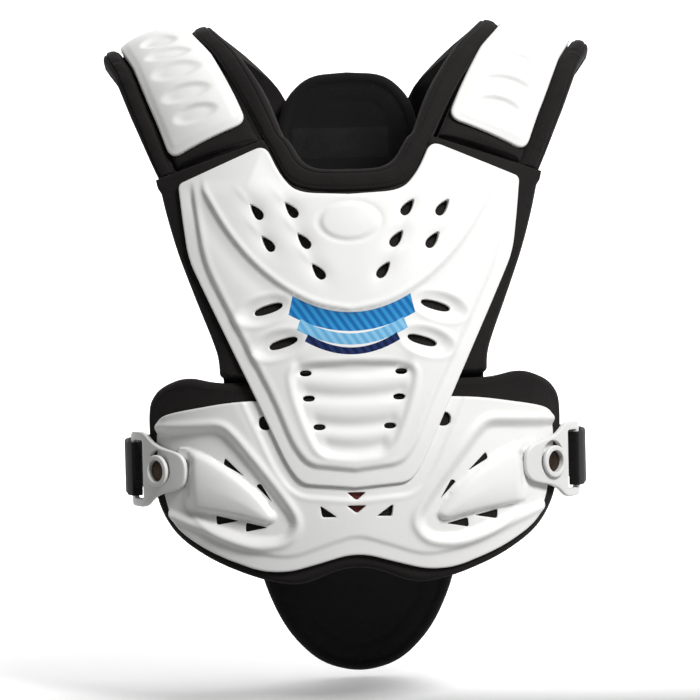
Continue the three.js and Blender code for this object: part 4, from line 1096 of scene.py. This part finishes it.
def folds(count, strength, seed):
    """Soft folds across a roll: sums of waves of the run with shifting phase round the section."""
    rng = np.random.default_rng(seed)
    run = np.linspace(0, 1, count)[:, None]
    around = np.linspace(0, 1, ROLL_SIDES + 1)[None]
    total = np.zeros((count, ROLL_SIDES + 1))
    for wave in FOLD_WAVES:
        phase, lean = rng.uniform(0, 2 * math.pi), rng.uniform(-2, 2)
        swell = 0.5 + 0.5 * np.sin(2 * math.pi * run * rng.integers(2, 5) + rng.uniform(0, 6))
        total += np.sin(2 * math.pi * wave * run + phase + lean * around * math.pi) * swell / wave
    return strength * total * FOLD_WAVES[0] * np.sin(math.pi * around)


def neck_roll_piece():
    """The roll along both straps' inner edges and the neck: its left half, the middle row and
    the left half mirrored."""
    v = np.linspace(STRAP_LONG, 0, 21)
    start, end, up = station(v, 1.0, inner_share(v))
    neck = np.array(NECK[:0:-1])
    to = flatten(front_layer, np.stack([-neck[:, 0] * NECK_HALF, neck_z(neck[:, 1])], 1), 0)
    of = flatten(front_layer, np.stack([-neck[:, 2] * NECK_HALF, neck_z(neck[:, 3])], 1), 0)
    middle = (to + of) / 2
    left = [np.concatenate([start, front_layer(*of.T, 0)]), np.concatenate([end, front_layer(*to.T, 0)]),
            np.concatenate([up, normal_on(front, *middle.T)])]
    mid = [front(0.0, neck_z(NECK[0][3])), front(0.0, neck_z(NECK[0][1])),
           normal_on(front, 0.0, NECK_TOP - NECK_TALL)]
    rows = [np.concatenate([part, m[None], part[::-1] * [-1, 1, 1]]) for part, m in zip(left, mid)]
    out = along_line(np.concatenate(rows, 1), NECK_ROLL_ROWS)
    roll = roll_surface(out[:, :3], out[:, 3:6], unit(out[:, 6:]), folds(NECK_ROLL_ROWS, 0.02, 3))
    add_piece("neck_roll_cushion", "neck_roll", "front_foam", front_fabric(), *roll,
              ROLL_SHARP, SOFT_FILL)


def shoulder_roll_pieces():
    v = np.linspace(0, STRAP_LONG, SHOULDER_ROLL_ROWS)
    roll = roll_surface(*station(v, 0.0, OUTER_ROLL), folds(SHOULDER_ROLL_ROWS, 0.022, 8))
    mirror_pair("shoulder_roll_cushion", "shoulder_roll", "front_foam", front_fabric(), *roll,
                ROLL_SHARP, SOFT_FILL)


def shoulder_pad_pieces():
    v = np.linspace(0, STRAP_LONG, 140)
    rim = counter(np.concatenate([
        np.stack([np.full(len(v), OUTER_ROLL * STRAP_WIDE + SEAM), v], 1),
        np.stack([inner_share(v[::-1]) * STRAP_WIDE - PAD_SEAM, v[::-1]], 1)]))
    flat, tris = flat_net(rim, PAD_PITCH, (0.5, 1.4, 3.0))
    d = inside(flat, rim)
    u, v = flat.T
    sides = np.minimum(u - OUTER_ROLL * STRAP_WIDE - SEAM, inner_share(v) * STRAP_WIDE - PAD_SEAM - u)
    fill = 3.0 * (1 - smooth(v / 24))
    top = PAD + crown(u, v) + fill - shoulder(np.maximum(sides, 0), 4.0) - shoulder(d, 1.0)
    low = shoulder(d, 1.5)
    mirror_pair("shoulder_pad_foam", "shoulder_pad", "front_foam", front_fabric(),
                *closed_sheet(flat, tris, strap_layer, top, low), PAD_SHARP, SOFT_FILL)


def shoulder_cap_pieces():
    left, right = CAP_SIDE * STRAP_WIDE, CAP_INNER * STRAP_WIDE
    rows = [[left, CAP_START, CAP_CORNER], [right, CAP_START + CAP_SLANT, CAP_CORNER],
            [right, CAP_END, CAP_CORNER], [left, CAP_END, CAP_CORNER]]
    rim = counter(fine(rounded(rows), 1.6))
    flat, tris = flat_net(rim, FINE_PITCH, EDGE_BANDS)
    u, v = flat.T
    d = inside(flat, rim)
    base = PAD + CAP_LAY
    top = base + CAP + crown(u, v) - shoulder(d, CAP_EDGE) + 0.9 * smooth((d - 2) / 7)
    for at, long in DENTS:
        a, b = tilted(flat, (left + right) / 2, mix(CAP_START, CAP_END, at), DENT_TILT)
        half = DENT_SHARE * long * (right - left) / 2
        r = np.clip(a / half, -1.2, 1.2) ** 2 + (b / DENT_WIDE) ** 2
        top -= DENT_DEEP * smooth((1 - r) / 0.8) * (1 + 0.3 * b / DENT_WIDE)
    top = np.maximum(top, base + crown(u, v) + 0.8)
    mirror_pair("shoulder_cap_shell", "shoulder_cap", "white_plate", white_plastic(),
                *closed_sheet(flat, tris, strap_layer, top, base + crown(u, v)), PLATE_SHARP)


# Back
def back_pad_rim(step):
    return edge_of(back_layer, BACK_PAD_EDGE, PAD_HALF, PAD_TOP, PAD_TALL, 0, step)


def back_pad_piece():
    rim = back_pad_rim(2.4)
    corners = LOOP_MIDDLE + LOOP_HALF * [[-1, -1], [1, -1], [1, 1], [-1, 1]]
    flat, tris = flat_net(rim, PAD_PITCH, (0.6, 1.6, 3.2, 5.5, 8.0, 9.0), [fine(corners, 3)])
    d = inside(flat, rim)
    top = PAD_BACK - shoulder(d, 6) - 0.8 * hump((d - SEWN_LINE) / 1.2)
    low = shoulder(d, 5) + 1.6 * hump((d - SEWN_LINE) / 1.3)
    low += 1.2 * hump(inside(flat, offset(back_pad_rim(6), SEWN_OVAL)) / 1.5)
    loop = (LOOP_HALF - np.abs(flat - LOOP_MIDDLE)).min(1)
    low -= 0.9 * smooth((loop + 0.5) / 1.6)
    obj = add_piece("back_pad_cushion", "back_pad", "back_foam", back_fabric(),
                    *closed_sheet(flat, tris, back_layer, top, low), PAD_SHARP, SOFT_FILL)
    patch_finish = knitted("loop patch", (0.005, 0.005, 0.0053), (0.013, 0.013, 0.0135), 0.55)
    paint(obj, [patch_finish], loop[tris].min(1) > -0.01, len(tris))


def back_shell_piece():
    rim = edge_of(back_layer, SHELL_EDGE, SHELL_HALF, SHELL_TOP, SHELL_TALL, SHELL_BASE, 1.8)
    flat, tris = flat_net(rim, SHELL_PITCH, EDGE_BANDS)
    d = inside(flat, rim)
    s, z = flat.T
    top = SHELL_FACE - shoulder(d, PLATE_EDGE) + 1.2 * smooth((d - 9) / 6)
    drop, ends = (SHELL_TOP - z) / SHELL_TALL, smooth((70 - np.abs(s)) / 18)
    for at in SHELL_WAVES:
        bow = drop - at + 0.02 * (s / 90) ** 2
        top -= SHELL_WAVE_DEEP * hump(bow * SHELL_TALL / 6.5) * ends
    add_piece("back_shell_plate", "back_shell", "white_plate", white_plastic(),
              *closed_sheet(flat, tris, back_layer, top, SHELL_BASE), PLATE_SHARP)


# Buckles
def buckle_plastic():
    return moulded("buckle plastic", settings().buckle_color, 0.34)


def buckle_rim():
    rows = [[-BUCKLE_TONGUE, BUCKLE_END * 0.8, 12], [0.1 * BUCKLE_OUT, 1.25 * BUCKLE_END, 10],
            [BUCKLE_OUT - BAR - WINDOW - 2, BUCKLE_TALL / 2, 6], [BUCKLE_OUT, BUCKLE_TALL / 2, 5]]
    rows += [[s, -z, c] for s, z, c in reversed(rows)]
    return counter(fine(rounded(rows), 1.0)) + [STUD_ARC, -STUD_DROP]


def buckle_holes():
    """The keyhole, a circle whose upper half is stretched, and the webbing's window."""
    a, r = turns(48), STUD_NECK + 3 * FIT
    keyhole = np.stack([r * np.cos(a), r * np.where(np.sin(a) > 0, KEYHOLE_RISE, 1) * np.sin(a)], 1)
    half, near, far = WEB_WIDE / 2 + 2 * WEB_ROOM, BUCKLE_OUT - BAR - WINDOW, BUCKLE_OUT - BAR
    window = rounded([[near, -half, 2.5], [far, -half, 2.5], [far, half, 2.5], [near, half, 2.5]])
    return [counter(line) + [STUD_ARC, -STUD_DROP] for line in (keyhole, fine(window, 1.5))]


def buckle_plate_pieces():
    base, rim, holes = BELT_FACE + LAY, buckle_rim(), buckle_holes()
    flat, tris = flat_net(rim, FINE_PITCH, (0.35, 0.8, 1.4), (), holes, (0.4, 1.0))
    top = base + BUCKLE - shoulder(inside(flat, rim), BUCKLE_EDGE) - hole_round(flat, holes, HOLE_EDGE)
    mirror_pair("buckle_plate_frame", "buckle_plate", "buckle_white", buckle_plastic(),
                *closed_sheet(flat, tris, front_layer, top, base), PLATE_SHARP, sides=("right", "left"))


def turned(profile, sides=64):
    """A closed profile of radius and height spun about the stud's axis."""
    seat_point = front_layer(STUD_ARC, -STUD_DROP, 0.0)
    axis = normal_on(front, STUD_ARC, -STUD_DROP)
    side = unit(np.cross(axis, [0, 0, 1]))
    up = np.cross(axis, side)
    profile, angle = np.asarray(profile, float), turns(sides)
    ring = side * np.cos(angle)[:, None] + up * np.sin(angle)[:, None]
    points = seat_point + profile[:, None, :1] * ring[None] + profile[:, None, 1:] * axis
    return points.reshape(-1, 3), grid_quads(len(profile), sides, close_rows=True, close_cols=True)


def stud_pieces():
    low, bore = BELT_FACE + FIT, RIVET_SHANK + FIT
    rim_low = BELT_FACE + LAY + BUCKLE + FIT
    rim_top, floor = rim_low + STUD_RIM_TALL, low + STUD_FLOOR
    t = np.linspace(0, math.pi / 2, 7)
    lip = [[STUD_RIM - 1.3 + 1.3 * math.cos(a), rim_top - 1.3 + 1.3 * math.sin(a)] for a in t]
    inner = [[STUD_BORE + 1.0 - 1.0 * math.sin(a), rim_top - 1.0 + 1.0 * math.cos(a)] for a in t]
    ring = turned([[bore, low], [STUD_NECK, low], [STUD_NECK, rim_low], [STUD_RIM, rim_low], *lip,
                   *inner, [STUD_BORE, floor], [bore, floor]])
    mirror_pair("buckle_stud_ring", "buckle_stud", "buckle_white", buckle_plastic(), *ring, STUD_SHARP,
                sides=("right", "left"))
    head = floor + FIT
    dome = [[RIVET_HEAD * math.cos(a), head + 0.7 + (RIVET_HEAD_TALL - 0.7) * math.sin(a)] for a in t[:-1]]
    rivet = turned([[0.02, BELT_BASE + FIT], [RIVET_SHANK, BELT_BASE + FIT], [RIVET_SHANK, head],
                    [RIVET_HEAD, head], *dome, [0.02, head + RIVET_HEAD_TALL]])
    mirror_pair("stud_rivet_head", "stud_rivet", "rivet", bronzed("bronzed rivet", settings().rivet_color),
                *rivet, STUD_SHARP, sides=("right", "left"))


# Side straps
def web_route():
    """The webbing's free length, and a function that lays arc, height and thickness along it:
    on the belt up to the buckle, then round the side to the shell."""
    near = [front_layer(STUD_ARC + WEB_START + i * WEB_TAPER, -STUD_DROP, WEB_LEVEL) for i in (0, 1)]
    run = [np.array([a * BELT_HALF, d * BODY_HALF_DEEP, -STUD_DROP]) for a, d in SIDE_RUN]
    far = [back_layer(-k * SIDE_END, -STUD_DROP, SHELL_FACE + BACK_LAY + WEB) for k in (1, 0.86, 0.72)]
    rail = Rail(np.array([*near, *run, *far]))
    t = np.linspace(0, 1, 2001)
    run_at = run_of(rail.at(t))

    def place(a, z, h):
        a, z, h = np.broadcast_arrays(a, z, h)
        share = np.interp(np.clip(a - WEB_START, 0, run_at[-1]), run_at, t)
        along = rail.tangent(share)
        outward = unit(np.stack([along[..., 1], -along[..., 0], 0 * a], -1))
        free = rail.at(share) + outward * h[..., None]
        free = np.concatenate([free[..., :2], z[..., None]], -1)
        held = front_layer(STUD_ARC + a, z, WEB_LEVEL + h)
        return np.where((a <= WEB_START)[..., None], held, free)

    return run_at[-1], place


def web_section(long):
    """Outer and inner line of the webbing, doubled round the buckle's bar, seen along its edge."""
    bar_in, bar_out = BUCKLE_OUT - BAR - WEB_ROOM, BUCKLE_OUT + WEB_ROOM
    slack, meet = BUCKLE / 2 + WEB_ROOM, bar_out + WEB_TAPER - WEB
    tail = np.linspace(WEB_START + long, bar_out + WEB_TAPER, 130)
    upper = np.concatenate([
        np.stack([tail, np.full(len(tail), WEB)], 1),
        [[bar_out + 5, slack + WEB - 1.0], [bar_out, slack + WEB]],
        [[bar_in - WEB * math.sin(a), slack + WEB * math.cos(a)] for a in np.linspace(0, math.pi / 2, 6)]])
    inner = np.array([[bar_in, -slack], [bar_in, slack], [bar_out, slack], [bar_out + 5, slack - 1.2],
                      [meet, 0.05], [meet, -0.05], [bar_out + 5, -slack + 1.2], [bar_out, -slack]])
    return np.concatenate([upper[::-1] * [1, -1], upper]), inner


def side_strap_pieces():
    """The section's two lines swept across the webbing's width, and its two sides."""
    long, place = web_route()
    outer, inner = web_section(long)
    across = np.concatenate([[0, 0.6], np.linspace(1.5, WEB_WIDE - 1.5, 12), [WEB_WIDE - 0.6, WEB_WIDE]])
    shrink = np.concatenate([[0.35, 0.12], np.zeros(12), [0.12, 0.35]])
    points, quads, uv, begin, m = [], [], [], 0, len(across)
    for line, sign in ((outer, 1), (inner, -1)):
        n = len(line)
        a = np.repeat(line[:, 0][:, None], m, 1)
        h = line[:, 1][:, None] - sign * np.sign(line[:, 1])[:, None] * shrink[None]
        z = np.repeat(WEB_WIDE / 2 - STUD_DROP - across[None], n, 0)
        quads.append((grid_quads(n, m, close_rows=True) + begin)[:, ::-sign])
        points.append(place(a, z, h).reshape(-1, 3))
        uv.append(np.stack([a, np.repeat(across[None], n, 0)], -1).reshape(-1, 2))
        begin += n * m
    flat, tris = triangulated(np.concatenate([outer, inner]), (outer, inner), 1e-6)
    if len(flat) != len(outer) + len(inner):
        raise RuntimeError("the webbing's section has stray points")
    middle = flat[tris].mean(1)
    tris = tris[(inside(middle, outer) > 0) & (inside(middle, inner) < 0)] * m
    faces = np.concatenate([halved(np.concatenate(quads)), tris, tris[:, ::-1] + m - 1])
    finish = woven("black webbing", settings().web_color, tuple(np.array(settings().web_color) * 3))
    for obj in mirror_pair("side_strap_web", "side_strap", "webbing", finish, np.concatenate(points), faces,
                           WEB_SHARP, uv=np.concatenate(uv), sides=("right", "left")):
        fix_facing(obj)


# Stage
def sweep():
    """The floor, darker in front, that bends up behind the guard into a wall. The sweep glows: not in
    front, faintly from just behind the guard, fully further back and on the wall.
    """
    turn = np.linspace(0.05, math.pi / 2, 16)
    y = np.concatenate([np.linspace(-SWEEP_REACH, SWEEP_BEND_AT, 12),
                        SWEEP_BEND_AT + SWEEP_BEND * np.sin(turn), np.full(6, SWEEP_BEND_AT + SWEEP_BEND)])
    z = np.concatenate([np.zeros(12), SWEEP_BEND - SWEEP_BEND * np.cos(turn),
                        np.linspace(1.5 * SWEEP_BEND, SWEEP_REACH, 6)])
    x = np.linspace(-SWEEP_REACH, SWEEP_REACH, 25)
    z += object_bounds()[0][2] - settings().floor_drop
    across = np.repeat(x[None], len(y), 0)
    grid = np.stack([across, np.repeat(y[:, None], len(x), 1), np.repeat(z[:, None], len(x), 1)], -1)
    obj = add_mesh("studio_sweep", grid.reshape(-1, 3) / MM, grid_quads(len(y), len(x)))
    material, tree, shader = nodes_of("pale sweep", Emission_Color=(1, 1, 1, 1), Roughness=0.85)
    depth_at = add_node(tree, "ShaderNodeSeparateXYZ", {0: place_socket(tree)}).outputs[1]
    pale = math_node(tree, "MULTIPLY_ADD", depth_at, 5.0, 0.6)
    tree.links.new(ramp(tree, pale, [(0.0, (0.28, 0.28, 0.28)), (1.0, (0.9, 0.9, 0.9))]),
                   shader.inputs["Base Color"])
    glow = settings().sweep_glow
    # The sweep's own glow: none in front of the guard, 0.42 of full just behind it, and full from 1.5 m
    # back.
    far = math_node(tree, "MULTIPLY_ADD", depth_at, 0.5, 0.05)
    tree.links.new(ramp(tree, far, [(0.0, (0, 0, 0)), (0.12, (0.42 * glow,) * 3), (0.8, (glow,) * 3)]),
                   shader.inputs["Emission Strength"])
    obj.data.materials.append(material)
    obj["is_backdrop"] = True


def room_light():
    world = bpy.data.worlds.new("soft white room")
    bpy.context.scene.world = world
    world.use_nodes = True
    inputs = world.node_tree.nodes["Background"].inputs
    inputs["Color"].default_value = (1, 1, 1, 1)
    inputs["Strength"].default_value = settings().room_light


def lamps():
    for name, place, size, power in LAMPS:
        light = bpy.data.lights.new(name, "AREA")
        light.energy, light.size = power, size
        lamp = bpy.data.objects.new(name, light)
        lamp.location = Vector(place)
        lamp.rotation_mode = "QUATERNION"
        lamp.rotation_quaternion = (lamp.location - Vector(LAMP_AIM)).to_track_quat("Z", "Y")
        bpy.context.scene.collection.objects.link(lamp)


def photo_camera():
    """The camera at the photo's angle, rolled a little about its view."""
    scene = bpy.context.scene
    data = bpy.data.cameras.new("photo camera")
    camera = bpy.data.objects.new("photo camera", data)
    scene.collection.objects.link(camera)
    tilt = math.radians(CAMERA_TILT)
    away = Vector((0, -math.cos(tilt), math.sin(tilt)))
    camera.location = Vector(CAMERA_AIM) + CAMERA_AWAY * away
    camera.rotation_mode = "QUATERNION"
    look = (camera.location - Vector(CAMERA_AIM)).to_track_quat("Z", "Y")
    camera.rotation_quaternion = look @ Quaternion((0, 0, 1), settings().camera_roll)
    data.sensor_width, data.lens, data.clip_end = 36.0, CAMERA_LENS, 50
    data.shift_x = settings().shift_x
    scene.camera = camera
    scene.view_settings.view_transform = "Standard"


class RoostSettings(bpy.types.PropertyGroup):
    """Sizes and colours that a user would change."""
    net_pitch: FloatProperty(name="Net pitch", description="Spacing of the plates' surface points, in mm",
                             default=1.9, min=1.0, max=6.0)
    plate_color: FloatVectorProperty(name="Plate colour", description="Colour of the white plates",
                                     subtype="COLOR", default=(0.84, 0.84, 0.828), min=0, max=1)
    plate_rough: FloatProperty(name="Plate roughness", description="Roughness of the white plates",
                               default=0.33, min=0, max=1, subtype="FACTOR")
    buckle_color: FloatVectorProperty(name="Buckle colour", description="Colour of buckles and studs",
                                      subtype="COLOR", default=(0.72, 0.72, 0.71), min=0, max=1)
    liner_color: FloatVectorProperty(name="Liner colour", description="Colour of the front foam's knit",
                                     subtype="COLOR", default=(0.0066, 0.0054, 0.0052), min=0, max=1)
    back_color: FloatVectorProperty(name="Back colour", description="Colour of the back pad's knit",
                                    subtype="COLOR", default=(0.0028, 0.0028, 0.003), min=0, max=1)
    web_color: FloatVectorProperty(name="Webbing colour", description="Colour of the side straps",
                                   subtype="COLOR", default=(0.0018, 0.0018, 0.0019), min=0, max=1)
    rivet_color: FloatVectorProperty(name="Rivet colour", description="Colour of the studs' rivets",
                                     subtype="COLOR", default=(0.075, 0.052, 0.036), min=0, max=1)
    floor_drop: FloatProperty(name="Floor drop", description="Floor's distance under the guard",
                              default=0.006, min=0, max=2, subtype="DISTANCE", unit="LENGTH")
    room_light: FloatProperty(name="Room light", description="Strength of the light from all round",
                              default=0.145, min=0, max=5)
    sweep_glow: FloatProperty(name="Backdrop glow", description="Strength of the backdrop's own light",
                              default=0.95, min=0, max=5)
    camera_roll: FloatProperty(name="Camera roll", description="Turn of the camera about its view",
                               default=math.radians(-1.4), min=-0.2, max=0.2, subtype="ANGLE")
    shift_x: FloatProperty(name="Shift across", description="Camera shift across, as a share of the frame",
                           default=-0.004, min=-0.2, max=0.2)


class ROOST_OT_chest_plate(bpy.types.Operator):
    """Moulded chest plate with its vents, ribs and boss"""
    bl_idname = "roost.chest_plate"
    bl_label = "Chest plate"

    def execute(self, context):
        chest_plate_piece()
        return {"FINISHED"}


class ROOST_OT_belt_plate(bpy.types.Operator):
    """Moulded belt plate with its hollows, horns and vents"""
    bl_idname = "roost.belt_plate"
    bl_label = "Belt plate"

    def execute(self, context):
        belt_plate_piece()
        return {"FINISHED"}


class ROOST_OT_liners(bpy.types.Operator):
    """Foam liners behind the chest and belt plates"""
    bl_idname = "roost.liners"
    bl_label = "Front liners"

    def execute(self, context):
        chest_liner_piece()
        belt_liner_piece()
        return {"FINISHED"}


class ROOST_OT_rolls(bpy.types.Operator):
    """Padded rolls along the neck and the arms"""
    bl_idname = "roost.rolls"
    bl_label = "Neck and shoulder rolls"

    def execute(self, context):
        neck_roll_piece()
        shoulder_roll_pieces()
        return {"FINISHED"}


class ROOST_OT_shoulders(bpy.types.Operator):
    """Shoulder pads under their dented caps"""
    bl_idname = "roost.shoulders"
    bl_label = "Shoulder pads and caps"

    def execute(self, context):
        shoulder_pad_pieces()
        shoulder_cap_pieces()
        return {"FINISHED"}


class ROOST_OT_back(bpy.types.Operator):
    """Padded back with its shell"""
    bl_idname = "roost.back"
    bl_label = "Back pad and shell"

    def execute(self, context):
        back_pad_piece()
        back_shell_piece()
        return {"FINISHED"}


class ROOST_OT_buckles(bpy.types.Operator):
    """Keyhole buckles with studs and rivets"""
    bl_idname = "roost.buckles"
    bl_label = "Buckles"

    def execute(self, context):
        buckle_plate_pieces()
        stud_pieces()
        return {"FINISHED"}


class ROOST_OT_side_straps(bpy.types.Operator):
    """Webbing loops from buckles to back"""
    bl_idname = "roost.side_straps"
    bl_label = "Side straps"

    def execute(self, context):
        side_strap_pieces()
        return {"FINISHED"}


class ROOST_OT_stage(bpy.types.Operator):
    """Sweep, lights and camera"""
    bl_idname = "roost.stage"
    bl_label = "Stage"

    def execute(self, context):
        sweep()
        room_light()
        lamps()
        photo_camera()
        return {"FINISHED"}


OPERATORS = (ROOST_OT_chest_plate, ROOST_OT_belt_plate, ROOST_OT_liners, ROOST_OT_rolls,
             ROOST_OT_shoulders, ROOST_OT_back, ROOST_OT_buckles, ROOST_OT_side_straps, ROOST_OT_stage)


class ROOST_PT_panel(bpy.types.Panel):
    """Sidebar panel with the sizes, colours and steps."""
    bl_idname = "ROOST_PT_panel"
    bl_label = "Roost deflector"
    bl_space_type = "VIEW_3D"
    bl_region_type = "UI"
    bl_category = "Roost deflector"

    def draw(self, context):
        for name in RoostSettings.__annotations__:
            self.layout.prop(context.scene.roost, name)
        for step in OPERATORS:
            self.layout.operator(step.bl_idname)


CLASSES = (RoostSettings, *OPERATORS, ROOST_PT_panel)


def register():
    for item in CLASSES:
        bpy.utils.register_class(item)
    bpy.types.Scene.roost = PointerProperty(type=RoostSettings)


def unregister():
    del bpy.types.Scene.roost
    for item in reversed(CLASSES):
        bpy.utils.unregister_class(item)


def main():
    register()
    bpy.ops.roost.chest_plate()
    bpy.ops.roost.belt_plate()
    bpy.ops.roost.liners()
    bpy.ops.roost.rolls()
    bpy.ops.roost.shoulders()
    bpy.ops.roost.back()
    bpy.ops.roost.buckles()
    bpy.ops.roost.side_straps()
    bpy.ops.roost.stage()


if __name__ == "__main__":
    main()
